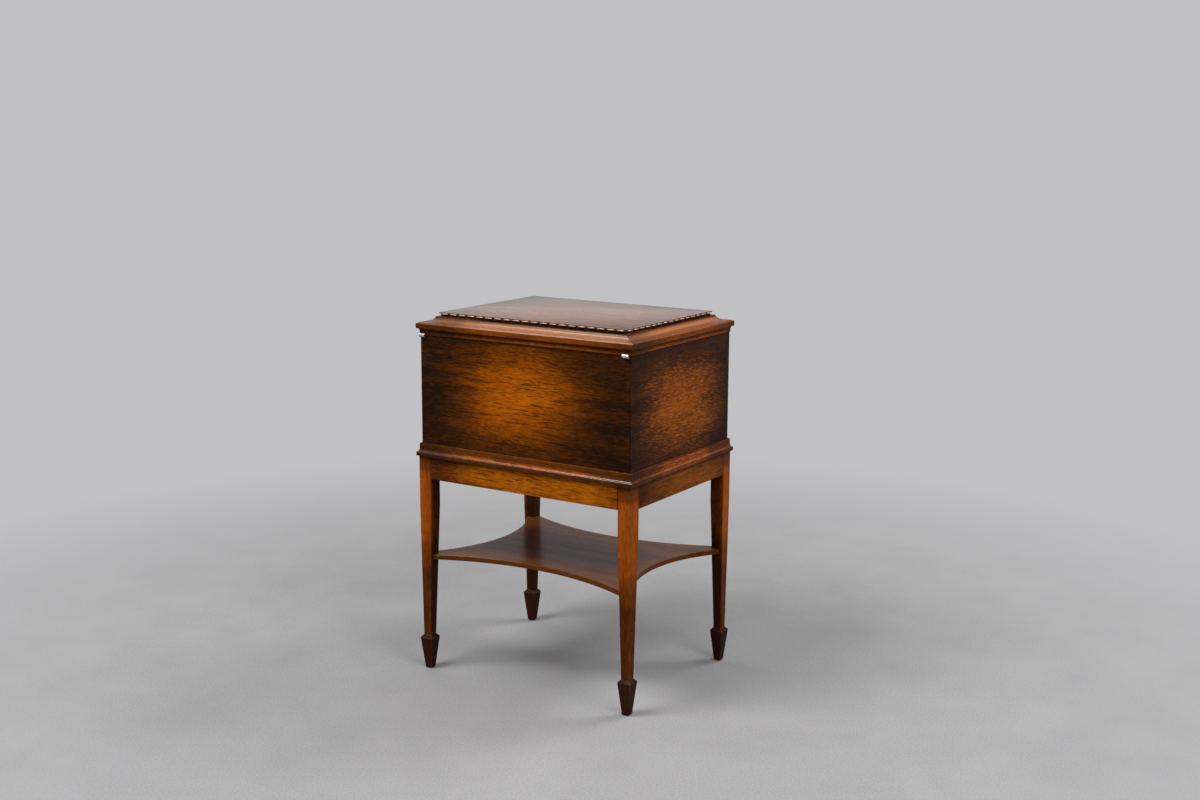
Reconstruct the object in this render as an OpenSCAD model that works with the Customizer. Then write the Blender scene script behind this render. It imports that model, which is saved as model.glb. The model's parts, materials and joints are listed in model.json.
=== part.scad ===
// Oak cutlery cabinet: a lift-top box with a fitted compartment and two fitted drawers,
// on a stand with square tapered legs, spade feet and a concave-sided undertier.
// X is the width, the front faces -Y, and the feet stand on Z = 0. Left is -X.

/* [Box] */
// Width over the side panels
box_w = 517; // [440:1:600]
// Depth from the drawer fronts to the back panel
box_d = 401; // [380:1:460]
// Height from the stand to the lid joint
box_h = 258.5; // [250:0.5:300]
// Thickness of the side panels
side_t = 19; // [17:0.5:24]
// Thickness of the back panel
back_t = 12; // [8:0.5:18]
// Thickness of the bottom board
bottom_t = 12; // [8:0.5:16]
// Thickness of the front frame and of the drawer fronts
front_t = 16; // [15:0.5:22]
// Width of the front frame's stiles
stile_w = 28; // [26:0.5:40]
// Height of the fixed board in front of the top compartment
front_board_h = 81.5; // [76:0.5:90]
// Height of the rail between the drawers
middle_rail_h = 11; // [8:0.5:16]
// Height of the rail under the lower drawer
bottom_rail_h = 30; // [28:0.5:36]
// Depth of the top compartment
well_depth = 66; // [56:0.5:70]
// Thickness of the compartment's floor
well_floor_t = 8; // [5:0.5:10]

/* [Lid] */
// Open joint between the box and the lid
lid_joint = 0.3; // [0.2:0.1:1]
// Height of the lid's rim, from the joint to the cove
rim_h = 24.7; // [22:0.1:32]
// Height of the fascia on the rim
fascia_h = 11.2; // [8:0.1:13]
// How far the fascia stands out from the box
fascia_out = 7.2; // [5:0.1:9]
// Radius of the fascia's upper edge
fascia_round = 2; // [1:0.5:4]
// Width of the step between the fascia and the rim's hollow
fascia_step = 2.6; // [1:0.1:2.9]
// How far the rim's foot stands out from the box
rim_foot_out = 1.2; // [0.8:0.1:2]
// Height of the plain strip under the rim's hollow
rim_foot_h = 4.2; // [3:0.1:6]
// Thickness of the rim
rim_t = 22; // [20:0.5:30]
// Height of the cove moulding
cove_h = 13; // [10:0.1:20]
// How far the cove's foot stands out from the box
cove_foot_out = 3; // [2:0.1:4]
// How far the cove's top edge lies in from the box
cove_in = 22.7; // [18:0.1:28]
// Width of the step between the cove and the square at its foot
cove_step = 1; // [0.5:0.1:1.5]
// Height of the square at the cove's foot
cove_foot_h = 1.3; // [1:0.1:3]
// Width of the cove frame's flat bed under the top board
cove_bed_w = 22; // [18:0.5:40]
// Thickness of the top board
top_t = 8.5; // [7:0.1:14]
// How far the top board's edge lies in from the box
top_in = 26.2; // [24:0.1:32]
// Radius of the top board's upper edges
top_round = 3; // [1:0.5:4]
// Thickness of the lid's padded lining
pad_t = 8; // [5:0.5:10]

/* [Base moulding] */
// Height of the moulding round the foot of the box
base_h = 27.5; // [24:0.5:28]
// How far its lower square stands out from the box
base_out = 9.2; // [7.5:0.1:12]
// Height of its lower square
base_square_h = 9.5; // [6:0.1:12]
// How far its upper square stands out from the box
base_top_out = 4; // [3:0.1:4]
// Height of its upper square
base_top_h = 10; // [7:0.1:11]
// Radius of the lower square's upper edge
base_round = 2; // [0.5:0.1:2.5]
// Width of the step between that edge and the hollow
base_step = 0.2; // [0:0.1:0.8]
// Chamfer on the upper square
base_chamfer = 1; // [0.5:0.1:2]

/* [Stand] */
// Height of the stand, from the floor to the box
stand_h = 473; // [420:1:520]
// Height of the aprons
apron_h = 48.5; // [40:0.5:60]
// Thickness of the aprons
apron_t = 18; // [15:0.5:20]
// How far the legs and aprons stand out from the box
leg_out = 5; // [4:0.1:6.5]
// Width of a leg above its taper
leg_w = 30.5; // [28:0.5:36]
// Height at which the taper begins
taper_z = 365; // [320:1:380]
// Width of a leg at its ankle
ankle_w = 18.6; // [16:0.1:22]
// Height of the ankle, where the spade foot begins
ankle_z = 76; // [66:1:90]
// How far a foot's axis lies in from the box
foot_axis_in = 7.5; // [6:0.1:9]
// Width of a spade foot at its shoulder
shoulder_w = 29.8; // [26:0.1:34]
// Height of the sloping top of a spade foot
shoulder_drop = 6; // [3:0.5:10]
// Width of a spade foot at its toe
toe_w = 15.5; // [13:0.1:20]
// Chamfer under the toe
toe_chamfer = 2.2; // [1:0.1:3]
// Diameter of the spigot that joins a foot to its leg
spigot_d = 10; // [6:0.5:12]
// Length of that spigot
spigot_l = 20; // [10:1:30]
// Length of the aprons' tenons
tenon_l = 12; // [8:0.5:13]
// Thickness of the aprons' tenons
tenon_t = 8; // [6:0.5:9]
// How far the tenons lie in from the aprons' edges
tenon_in = 6; // [4:1:12]
// Leg length of a corner block
block_l = 50; // [44:1:60]
// Height of a corner block
block_h = 30; // [22:1:36]
// Diameter of the screws that hold the box on the stand
stand_screw_d = 4; // [3.5:0.5:5]
// Diameter of their heads
stand_screw_head = 8; // [7:0.5:10]
// Height of their heads
stand_screw_head_h = 2.5; // [2:0.5:4]
// Wood over their points
screw_cover = 3; // [2:0.5:5]

/* [Undertier] */
// Height of the undertier's top
tier_z = 257; // [200:1:300]
// Thickness of the undertier
tier_t = 11; // [9:0.5:16]
// How deep the front and back edges are hollowed
tier_hollow_x = 56; // [30:1:70]
// How deep the side edges are hollowed
tier_hollow_y = 60; // [30:1:70]
// How far the ears' ends lie in from the box
ear_in = 2; // [1:0.5:6]
// Diameter of the dowels between the undertier and the legs
dowel_d = 6; // [4:0.5:7]
// Length of these dowels
dowel_l = 22; // [14:1:28]

/* [Drawers] */
// Gap round a drawer front
front_gap = 1; // [0.6:0.1:1.5]
// Gap under and beside a running drawer
run_gap = 0.3; // [0.2:0.1:0.6]
// Thickness of the drawer sides and backs
drawer_side_t = 9; // [7:0.5:12]
// Thickness of the drawer bottoms
drawer_bottom_t = 5; // [4:0.5:6]
// Height of a drawer bottom above its runner
drawer_bottom_z = 7; // [5:0.5:9]
// How deep the drawer bottoms are grooved into the sides and the front
groove = 3; // [2:0.5:4]
// How far a drawer side stops under the opening's top
side_drop = 8; // [6:0.5:14]
// How far a drawer back stops under the sides
back_drop = 4; // [2:0.5:8]
// Width of a drawer runner
runner_w = 21; // [19:0.5:30]
// Height of the guide on a runner
guide_h = 18; // [10:0.5:24]

/* [Racks] */
// Thickness of a rack's bed
bed_t = 3; // [2:0.5:5]
// Thickness of a rack's notched bars
bar_t = 14; // [10:0.5:20]
// Space between a rack and what it stands in
rack_gap = 0.5; // [0.3:0.1:1]
// Height of the bars in the top compartment
top_bar_h = 40; // [30:1:48]
// Height of the bars in the drawers
drawer_bar_h = 34; // [26:1:36]
// Spacing of the notches for spoons and forks
spoon_pitch = 21; // [18:0.5:26]
// Width of a notch for a spoon or fork
spoon_notch = 12; // [8:0.5:14]
// Spacing of the notches for knives
knife_pitch = 15; // [13:0.5:18]
// Width of a notch for a knife
knife_notch = 6; // [5:0.5:8]
// Depth of the notches
notch_depth = 16; // [10:0.5:20]
// Distance from the compartment's front to its first bar
first_bar = 30; // [20:1:60]
// Distance between the two bars that hold one long piece
long_span = 110; // [90:1:120]
// Distance between the two bars that hold one short piece
short_span = 55; // [45:1:60]
// Distance from the long row's second bar to the short row's first
row_space = 75; // [60:1:90]

/* [Hinges] */
// Width of a hinge
hinge_w = 13; // [11:0.5:14]
// Length of a hinge's leaves
hinge_l = 60; // [50:1:80]
// Thickness of a leaf
leaf_t = 1.5; // [1.2:0.1:2]
// Diameter of the knuckles
knuckle_d = 9; // [7:0.1:9]
// Diameter of the hinge pins
pin_d = 3; // [2.5:0.1:4]
// Running clearance of a pin, on the radius
pin_gap = 0.05; // [0.02:0.01:0.1]
// Gap between neighbouring knuckles
knuckle_gap = 0.1; // [0.05:0.05:0.3]
// Gap between a knuckle and the pieces that turn round it
knuckle_clear = 0.5; // [0.3:0.1:0.8]
// Gap between the knuckles and the back of the box
knuckle_back = 0.2; // [0.1:0.1:1]
// Diameter of the hinge screws
screw_d = 3; // [2.5:0.1:4]
// Diameter of the hinge screws' heads
screw_head_d = 6; // [5:0.1:7]
// Length of the hinge screws under the head
screw_l = 14; // [10:0.5:18]
// Distance of the first screw from a leaf's front end
screw_in = 9; // [6:0.5:12]

/* [Lock] */
// Width of the lock's case
lock_w = 60; // [56:1:80]
// Height of the lock's case
lock_h = 36; // [30:1:44]
// Depth of the lock's case
lock_t = 10; // [9:0.5:12]
// Thickness of the case's walls
lock_wall = 1.5; // [1:0.1:1.6]
// Height of the hollow in which the bolt slides
bolt_space_h = 15; // [14:0.5:18]
// How far the bolt travels
bolt_travel = 5; // [4:0.1:6]
// Distance between the two staples on the lid
staple_pitch = 26; // [24:1:28]
// How far the staples reach into the lock
staple_drop = 10; // [9:0.5:11]
// Thickness of a staple
staple_t = 2.5; // [2:0.1:3]
// Width of a staple
staple_w = 5; // [4.5:0.1:6]
// Width of the catch plate that holds the staples
catch_w = 8; // [7:0.5:9]
// Diameter of the bolt's two pins
bolt_pin_d = 2.6; // [2:0.1:3]
// Height of the keyhole's round over the lock's foot
key_up = 11.5; // [11:0.5:16]
// Diameter of the keyhole's round
key_hole_d = 5; // [4:0.5:6]
// Width of the keyhole's slot
key_slot_w = 2.6; // [2:0.1:3.5]
// Length of the keyhole's slot
key_slot_l = 8; // [6:0.5:9]
// Thickness of the escutcheon
plate_t = 1.5; // [1:0.1:3]
// Width of the escutcheon
plate_w = 14; // [12:0.5:20]
// Distance between the centres of the escutcheon's round ends
plate_l = 12; // [10:0.5:16]

/* [Handles] */
// Distance of a handle from the drawer's middle
handle_x = 115; // [80:1:150]
// Distance between a handle's two posts
post_pitch = 56; // [44:1:70]
// Distance from the drawer front to the bail's pivot
pivot_out = 10; // [9:0.5:14]
// Diameter of a post's ball
ball_d = 10; // [8:0.5:10]
// Diameter of a post's rose
rose_d = 15; // [12:0.5:18]
// Thickness of a post's rose
rose_t = 2; // [1:0.1:3]
// Diameter of a post's neck and shank
neck_d = 5; // [4:0.5:6]
// Diameter of the nuts inside the drawer
nut_d = 9; // [8:0.5:12]
// Thickness of these nuts
nut_t = 3; // [2:0.5:5]
// Diameter of the bail's wire
bail_d = 4; // [3:0.5:5]
// Diameter of the ball in the middle of the bail
bead_d = 7; // [6:0.5:8]
// Diameter of the eyes at the bail's ends
eye_d = 6.5; // [5.5:0.5:8]
// Gap between an eye and a post's ball
arm_gap = 0.4; // [0.3:0.1:1]
// How far the bail hangs under its pivot
bail_drop = 20; // [16:1:22]
// Bend radius of the bail's lower corners
bail_r = 8; // [6:0.5:10]
// Height of the pivot over the middle of the drawer front
pivot_up = 8; // [4:0.5:10]

/* [Hidden] */

$fn = 64;
// Facets on the undertier's long arcs
arc_fn = 240;
// Cutting tools run past the faces that they cut by this much
over = 1;
// Glue and screw holes are this much larger than what they hold, on the radius
snug = 0.02;
// Blind holes are this much deeper than what they hold
end_gap = 0.5;

oak = [0.42, 0.20, 0.07];
dark_oak = [0.22, 0.11, 0.06];
brass = [0.78, 0.63, 0.33];
silvered = [0.80, 0.80, 0.78];
baize = [0.10, 0.22, 0.32];
satin = [0.80, 0.74, 0.60];

// The hinge axis lies just behind the back panel, in the joint of the lid
hinge_axis_out = knuckle_d / 2 + knuckle_back;

// Half sizes of the box, and the shift that centres the whole footprint, handles included
half_w = box_w / 2;
half_d = box_d / 2;
handle_reach = pivot_out + ball_d / 2;
back_reach = max(base_out, hinge_axis_out + knuckle_d / 2);
mid_y = (handle_reach - back_reach) / 2;

// Heights
top_z = stand_h + box_h;
lid_z = top_z + lid_joint;
rim_top = lid_z + rim_h;
cove_top = rim_top + cove_h;
lid_top = cove_top + top_t;
fascia_z = rim_top - fascia_h;
apron_z = stand_h - apron_h;

// Inside of the box
in_x = half_w - side_t;
in_front = -half_d + front_t;
in_back = half_d - back_t;
well_z = top_z - well_depth;
well_floor_z = well_z - well_floor_t;

// The front frame and its two drawer openings
open_w = box_w - 2 * stile_w;
front_board_z = top_z - front_board_h;
lower_z = stand_h + bottom_rail_h;
drawer_h = (front_board_z - lower_z - middle_rail_h) / 2;
upper_z = lower_z + drawer_h + middle_rail_h;
drawer_x = open_w / 2 - front_gap;
drawer_in_x = drawer_x - drawer_side_t;
drawer_end = in_back - run_gap;
rack_z = drawer_bottom_z + drawer_bottom_t;

// The two hinges
hinge_axis_z = top_z + lid_joint / 2;
hinge_x = half_w - side_t / 2;
knuckle_l = hinge_w / 3;
screw_first = half_d - back_t - screw_head_d / 2;
screw_last = half_d - hinge_l + screw_in;
screw_places = [for (k = [0 : 0.5 : 1]) screw_first + (screw_last - screw_first) * k];

// The lock sits flush with the inside and the top edge of the front board
lock_y = in_front - lock_t;
lock_mid_y = in_front - lock_t / 2;
bolt_space_l = lock_w - 2 * lock_wall;
bolt_space_t = lock_t - 2 * lock_wall;
bolt_space_z = top_z - lock_wall - bolt_space_h;
staple_hole_d = bolt_pin_d + 1;
staple_web = 1.2;
bolt_pin_z = lid_z - staple_drop + staple_web + staple_hole_d / 2;
key_z = top_z - lock_h + key_up;
key_clear = 0.5;

// An eye is a little wider than the wire that it ends
eye_t = bail_d + 0.6;

// What a leg's inner corner leaves free of a corner block, and the middle of what is left
post = leg_w - apron_t;
stand_screw_in = (post + block_l / 2) / 2;

// A leg's faces move in as it tapers; out(z) is measured outwards from the box
foot_axis = -foot_axis_in;
leg_in = leg_out - leg_w;
leg_corner_x = half_w + leg_in;
leg_corner_y = half_d + leg_in;
function taper(z, top, foot) = foot + (top - foot) * min(1, (z - ankle_z) / (taper_z - ankle_z));
tier_leg_in = taper(tier_z, leg_in, foot_axis - ankle_w / 2);

// Everything is drawn about the middle of the box and then moved to the middle of the footprint
module placed() {
    translate([0, mid_y, 0]) children();
}

module flip_x(on) {
    if (on) mirror([1, 0, 0]) children();
    else children();
}

module flip_y(on) {
    if (on) mirror([0, 1, 0]) children();
    else children();
}

// A piece drawn at the back right corner, set at the corner with these signs
module at_corner(sx, sy) {
    placed() flip_x(sx < 0) flip_y(sy < 0) children();
}

module both_sides() {
    for (s = [1, -1]) flip_x(s < 0) children();
}

module four_corners() {
    for (sx = [1, -1], sy = [1, -1]) at_corner(sx, sy) children();
}

module block(low, high) {
    translate(low) cube(high - low);
}

// A square column whose width follows one outline in both directions. The outline's points
// are [out, z], with out measured from the box's faces at the back right corner.
module square_column(points, reach) {
    intersection() {
        translate([half_w, half_d + reach, 0]) rotate([90, 0, 0])
            linear_extrude(2 * reach) polygon(points);
        translate([half_w - reach, half_d, 0]) rotate([90, 0, 90])
            linear_extrude(2 * reach) polygon(points);
    }
}

// Stand

module apron_tenon_x() {
    block([leg_corner_x - over, half_d + leg_out - apron_t / 2 - tenon_t / 2, apron_z + tenon_in],
          [leg_corner_x + tenon_l, half_d + leg_out - apron_t / 2 + tenon_t / 2, stand_h - tenon_in]);
}

module apron_tenon_y() {
    block([half_w + leg_out - apron_t / 2 - tenon_t / 2, leg_corner_y - over, apron_z + tenon_in],
          [half_w + leg_out - apron_t / 2 + tenon_t / 2, leg_corner_y + tenon_l, stand_h - tenon_in]);
}

module dowel_place() {
    translate([half_w + tier_leg_in, half_d + (tier_leg_in - ear_in) / 2, tier_z - tier_t / 2])
        rotate([0, 90, 0]) children();
}

module leg(sx, sy) {
    color(oak) at_corner(sx, sy) difference() {
        square_column([
            [leg_in, stand_h], [leg_out, stand_h], [leg_out, taper_z],
            [foot_axis + ankle_w / 2, ankle_z], [foot_axis - ankle_w / 2, ankle_z],
            [leg_in, taper_z]
        ], leg_w * 2);
        apron_tenon_x();
        apron_tenon_y();
        translate([half_w + foot_axis, half_d + foot_axis, ankle_z - over])
            cylinder(d = spigot_d + 2 * snug, h = spigot_l + end_gap + over);
        dowel_place() translate([0, 0, -over])
            cylinder(d = dowel_d + 2 * snug, h = dowel_l / 2 + end_gap + over);
    }
}

module spade_feet() {
    toe = toe_w / 2;
    color(dark_oak) four_corners() {
        square_column([
            [foot_axis - toe + toe_chamfer, 0], [foot_axis + toe - toe_chamfer, 0],
            [foot_axis + toe, toe_chamfer],
            [foot_axis + shoulder_w / 2, ankle_z - shoulder_drop],
            [foot_axis + ankle_w / 2, ankle_z], [foot_axis - ankle_w / 2, ankle_z],
            [foot_axis - shoulder_w / 2, ankle_z - shoulder_drop],
            [foot_axis - toe, toe_chamfer]
        ], shoulder_w * 2);
        translate([half_w + foot_axis, half_d + foot_axis, ankle_z - over])
            cylinder(d = spigot_d, h = spigot_l + over);
    }
}

module apron_x(sy) {
    color(oak) at_corner(1, sy) {
        block([-leg_corner_x, half_d + leg_out - apron_t, apron_z],
              [leg_corner_x, half_d + leg_out, stand_h]);
        intersection() {
            both_sides() apron_tenon_x();
            block([-leg_corner_x - tenon_l + snug, 0, 0],
                  [leg_corner_x + tenon_l - snug, box_d, stand_h]);
        }
    }
}

module apron_y(sx) {
    color(oak) at_corner(sx, 1) {
        block([half_w + leg_out - apron_t, -leg_corner_y, apron_z],
              [half_w + leg_out, leg_corner_y, stand_h]);
        intersection() {
            for (s = [1, -1]) flip_y(s < 0) apron_tenon_y();
            block([0, -leg_corner_y - tenon_l + snug, 0],
                  [box_w, leg_corner_y + tenon_l - snug, stand_h]);
        }
    }
}

// A screw stands head down, with its head's face at Z = 0
module wood_screw(d, head_d, head_h, l, grow = 0) {
    cylinder(d1 = head_d + 2 * grow, d2 = d + 2 * grow, h = head_h);
    cylinder(d = d + 2 * grow, h = l + grow);
}

module stand_screw_place() {
    translate([half_w + leg_out - apron_t - stand_screw_in,
               half_d + leg_out - apron_t - stand_screw_in, stand_h - block_h]) children();
}

module stand_screw(grow = 0) {
    wood_screw(stand_screw_d, stand_screw_head, stand_screw_head_h,
               block_h + bottom_t - screw_cover, grow);
}

module corner_blocks() {
    color(oak) four_corners() difference() {
        translate([half_w + leg_out - apron_t, half_d + leg_out - apron_t, stand_h - block_h])
            rotate([0, 0, 180]) linear_extrude(block_h)
                polygon([[post, 0], [block_l, 0], [0, block_l], [0, post], [post, post]]);
        stand_screw_place() stand_screw(snug);
        stand_screw_place() translate([0, 0, -over])
            cylinder(d = stand_screw_head, h = over + snug);
    }
}

module stand_screws() {
    color(silvered) four_corners() stand_screw_place() stand_screw();
}

// The edges are hollowed by arcs that start where the edges meet the legs
function arc_radius(half_chord, rise) = (half_chord * half_chord + rise * rise) / (2 * rise);

module undertier() {
    ear_x = half_w - ear_in;
    ear_y = half_d - ear_in;
    chord_x = half_w + tier_leg_in;
    chord_y = half_d + tier_leg_in;
    rx = arc_radius(chord_x, tier_hollow_x);
    ry = arc_radius(chord_y, tier_hollow_y);
    color(oak) placed() difference() {
        block([-ear_x, -ear_y, tier_z - tier_t], [ear_x, ear_y, tier_z]);
        for (s = [1, -1]) {
            translate([0, s * (ear_y - tier_hollow_x + rx), tier_z - tier_t - over])
                cylinder(r = rx, h = tier_t + 2 * over, $fn = arc_fn);
            translate([s * (ear_x - tier_hollow_y + ry), 0, tier_z - tier_t - over])
                cylinder(r = ry, h = tier_t + 2 * over, $fn = arc_fn);
        }
        for (sx = [1, -1], sy = [1, -1]) flip_x(sx < 0) flip_y(sy < 0) {
            block([chord_x, chord_y, tier_z - tier_t - over], [half_w, half_d, tier_z + over]);
            dowel_place() translate([0, 0, -dowel_l / 2 - end_gap])
                cylinder(d = dowel_d + 2 * snug, h = dowel_l);
        }
    }
}

module undertier_dowels() {
    color(oak) four_corners() dowel_place() translate([0, 0, -dowel_l / 2])
        cylinder(d = dowel_d, h = dowel_l);
}

// Mouldings follow an outline of points [out, z] along the back or the right side, and are
// cut off at each end by the 45 degree plane through the box's corner
module mitred_x(points) {
    reach = half_w + half_d;
    intersection() {
        translate([-reach, half_d, 0]) rotate([90, 0, 90])
            linear_extrude(2 * reach) polygon(points);
        linear_extrude(lid_top + over) polygon([
            [0, half_d - half_w], [half_w + half_d, 2 * half_d], [-half_w - half_d, 2 * half_d]
        ]);
    }
}

module mitred_y(points) {
    reach = half_w + half_d;
    intersection() {
        translate([half_w, reach, 0]) rotate([90, 0, 0])
            linear_extrude(2 * reach) polygon(points);
        linear_extrude(lid_top + over) polygon([
            [half_w - half_d, 0], [2 * half_w, half_w + half_d], [2 * half_w, -half_w - half_d]
        ]);
    }
}

// Points along an ellipse about [cx, cz] with half axes a and b, between two angles
function quarter(cx, cz, a, b, from, to, steps = 12) =
    [for (k = [0 : steps]) let (t = from + (to - from) * k / steps)
        [cx + a * cos(t), cz + b * sin(t)]];

// Two squares with a hollow between them
function base_outline() = let (hollow_out = base_out - base_round - base_step) concat(
    [[0, stand_h], [base_out, stand_h]],
    quarter(base_out - base_round, stand_h + base_square_h - base_round,
            base_round, base_round, 0, 90, 4),
    quarter(hollow_out, stand_h + base_h - base_top_h,
            hollow_out - base_top_out, base_h - base_top_h - base_square_h, 270, 180),
    [[base_top_out, stand_h + base_h - base_chamfer],
     [base_top_out - base_chamfer, stand_h + base_h], [0, stand_h + base_h]]
);

module base_moulding_x(sy) {
    color(oak) at_corner(1, sy) mitred_x(base_outline());
}

module base_moulding_y(sx) {
    color(oak) at_corner(sx, 1) mitred_y(base_outline());
}

// Box

module hinge_recess_lower() {
    both_sides() block([hinge_x - hinge_w / 2, half_d - hinge_l, top_z - leaf_t],
                       [hinge_x + hinge_w / 2, half_d + over, top_z + over]);
    both_sides() for (y = screw_places) lower_screw_place(y) hinge_screw(snug);
}

// A flat shape made solid between two heights
module raised(low, high) {
    translate([0, 0, low]) linear_extrude(high - low) children();
}

// The sides and the back meet in mitres at the back corners
module side(sx) {
    color(oak) at_corner(sx, 1) difference() {
        raised(stand_h, top_z) polygon([
            [in_x, in_front], [half_w, in_front], [half_w, half_d], [in_x, in_back]
        ]);
        hinge_recess_lower();
    }
}

module back_panel() {
    color(oak) placed() difference() {
        raised(stand_h, top_z) polygon([
            [-half_w, half_d], [-in_x, in_back], [in_x, in_back], [half_w, half_d]
        ]);
        hinge_recess_lower();
    }
}

module bottom_board() {
    color(oak) placed() difference() {
        block([-in_x, in_front, stand_h], [in_x, in_back, stand_h + bottom_t]);
        for (sx = [1, -1], sy = [1, -1]) flip_x(sx < 0) flip_y(sy < 0)
            stand_screw_place() stand_screw(snug);
    }
}

module compartment_floor() {
    color(oak) placed() block([-in_x, in_front, well_floor_z], [in_x, in_back, well_z]);
}

module stile(sx) {
    color(oak) at_corner(sx, 1)
        block([half_w - stile_w, -half_d, stand_h], [half_w, in_front, top_z]);
}

module frame_rail(low_z, high_z) {
    block([-open_w / 2, -half_d, low_z], [open_w / 2, in_front, high_z]);
}

// The keyhole's outline, standing in the front, with the round at its top
module keyhole(grow) {
    circle(d = key_hole_d + 2 * grow);
    translate([-key_slot_w / 2 - grow, -key_slot_l - grow])
        square([key_slot_w + 2 * grow, key_slot_l + grow]);
}

module key_way(from_y, to_y, grow = 0) {
    translate([0, to_y, key_z]) rotate([90, 0, 0]) linear_extrude(to_y - from_y) keyhole(grow);
}

module front_board() {
    color(oak) placed() difference() {
        frame_rail(front_board_z, top_z);
        block([-lock_w / 2 - snug, lock_y - snug, top_z - lock_h - snug],
              [lock_w / 2 + snug, in_front + over, top_z + over]);
        key_way(-half_d - over, lock_y + over, key_clear);
    }
}

module middle_rail() {
    color(oak) placed() frame_rail(lower_z + drawer_h, upper_z);
}

module bottom_rail() {
    color(oak) placed() frame_rail(stand_h, lower_z);
}

// A runner carries a drawer's side and its guide keeps the drawer straight
module runner(low_z, run_z) {
    block([in_x - runner_w, in_front, low_z], [in_x, in_back, run_z]);
    block([drawer_x + run_gap, in_front, low_z], [in_x, in_back, run_z + guide_h]);
}

module drawer_runners() {
    color(oak) placed() both_sides() {
        runner(stand_h + bottom_t, lower_z);
        runner(lower_z + drawer_h, upper_z);
    }
}

// Racks

// One notched bar along X, standing on its bed, with as many notches as its length holds
module notched_bar(w, h, pitch, notch) {
    count = floor((w - pitch / 2) / pitch);
    first = -(count - 1) / 2 * pitch;
    outline = concat(
        [[-w / 2, 0], [w / 2, 0], [w / 2, h]],
        [for (k = [count - 1 : -1 : 0]) let (x = first + k * pitch)
            each [[x + notch / 2, h], [x + notch / 2, h - notch_depth],
                  [x - notch / 2, h - notch_depth], [x - notch / 2, h]]],
        [[-w / 2, h]]
    );
    translate([0, bar_t / 2, 0]) rotate([90, 0, 0]) linear_extrude(bar_t) polygon(outline);
}

// A baize-covered bed with two rows of bars: one for long pieces, one for short ones
module rack(half, front_y, back_y, h, pitch, notch) {
    w = 2 * (half - rack_gap);
    bars = [first_bar, first_bar + long_span, first_bar + long_span + row_space,
            first_bar + long_span + row_space + short_span];
    block([-w / 2, front_y + rack_gap, 0], [w / 2, back_y - rack_gap, bed_t]);
    for (b = bars) translate([0, front_y + b, bed_t]) notched_bar(w, h - bed_t, pitch, notch);
}

module cutlery_rack() {
    color(baize) placed() translate([0, 0, well_z])
        rack(in_x, in_front, in_back, top_bar_h, spoon_pitch, spoon_notch);
}

// Lock

module lock_case() {
    color(brass) placed() difference() {
        block([-lock_w / 2, lock_y, top_z - lock_h], [lock_w / 2, in_front, top_z]);
        translate([0, lock_mid_y, bolt_space_z + bolt_space_h / 2])
            cube([bolt_space_l, bolt_space_t, bolt_space_h], center = true);
        for (s = [1, -1]) translate([s * staple_pitch / 2, lock_mid_y, top_z])
            cube([2 * staple_t, bolt_space_t, 2 * lock_wall + over], center = true);
        key_way(lock_y - over, lock_mid_y);
    }
}

// Two pins on a sliding bar, which pass through the lid's staples when the key is turned
module lock_bolt() {
    bar_h = 2;
    lug_t = 3;
    lug_over = 0.7;
    pin_l = bolt_travel + 1;
    start = 1.5;
    front_y = lock_y + lock_wall + run_gap;
    back_y = in_front - lock_wall - run_gap;
    low_z = bolt_space_z + run_gap;
    lug_x = staple_pitch / 2 - staple_t / 2 - start - pin_l - lug_t;
    color(silvered) placed() {
        block([lug_x - staple_pitch, front_y, low_z], [lug_x + lug_t, back_y, low_z + bar_h]);
        for (x = [lug_x, lug_x - staple_pitch]) {
            block([x, front_y, low_z], [x + lug_t, back_y, bolt_pin_z + bolt_pin_d / 2 + lug_over]);
            translate([x + lug_t / 2, lock_mid_y, bolt_pin_z]) rotate([0, 90, 0])
                cylinder(d = bolt_pin_d, h = pin_l + lug_t / 2);
        }
    }
}

module escutcheon() {
    color(brass) placed() difference() {
        translate([0, -half_d, key_z - key_slot_l / 2 + key_hole_d / 4]) rotate([90, 0, 0])
            linear_extrude(plate_t) {
                for (s = [1, -1]) translate([0, s * plate_l / 2]) circle(d = plate_w);
                square([plate_w, plate_l], center = true);
            }
        key_way(-half_d - plate_t - over, -half_d + over);
    }
}

// Hinges: two stopped brass hinges with three knuckles each

module lower_screw_place(y) {
    translate([hinge_x, y, top_z]) mirror([0, 0, 1]) children();
}

module upper_screw_place(y) {
    translate([hinge_x, y, lid_z]) children();
}

module hinge_screw(grow = 0) {
    wood_screw(screw_d, screw_head_d, leaf_t, leaf_t + screw_l, grow);
}

// A stretch of the barrel's line, from one end of the hinge
module barrel(from, to, d) {
    translate([hinge_x - hinge_w / 2 + from, half_d + hinge_axis_out, hinge_axis_z])
        rotate([0, 90, 0]) cylinder(d = d, h = to - from);
}

module hinge_lower_leaves() {
    color(silvered) placed() both_sides() difference() {
        union() {
            block([hinge_x - hinge_w / 2, half_d - hinge_l, top_z - leaf_t],
                  [hinge_x + hinge_w / 2, half_d + hinge_axis_out, top_z]);
            barrel(0, knuckle_l - knuckle_gap / 2, knuckle_d);
            barrel(2 * knuckle_l + knuckle_gap / 2, hinge_w, knuckle_d);
        }
        barrel(knuckle_l - knuckle_gap / 2, 2 * knuckle_l + knuckle_gap / 2,
               knuckle_d + 2 * knuckle_clear);
        barrel(-over, hinge_w + over, pin_d + 2 * snug);
        for (y = screw_places) lower_screw_place(y) hinge_screw(snug);
    }
}

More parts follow.
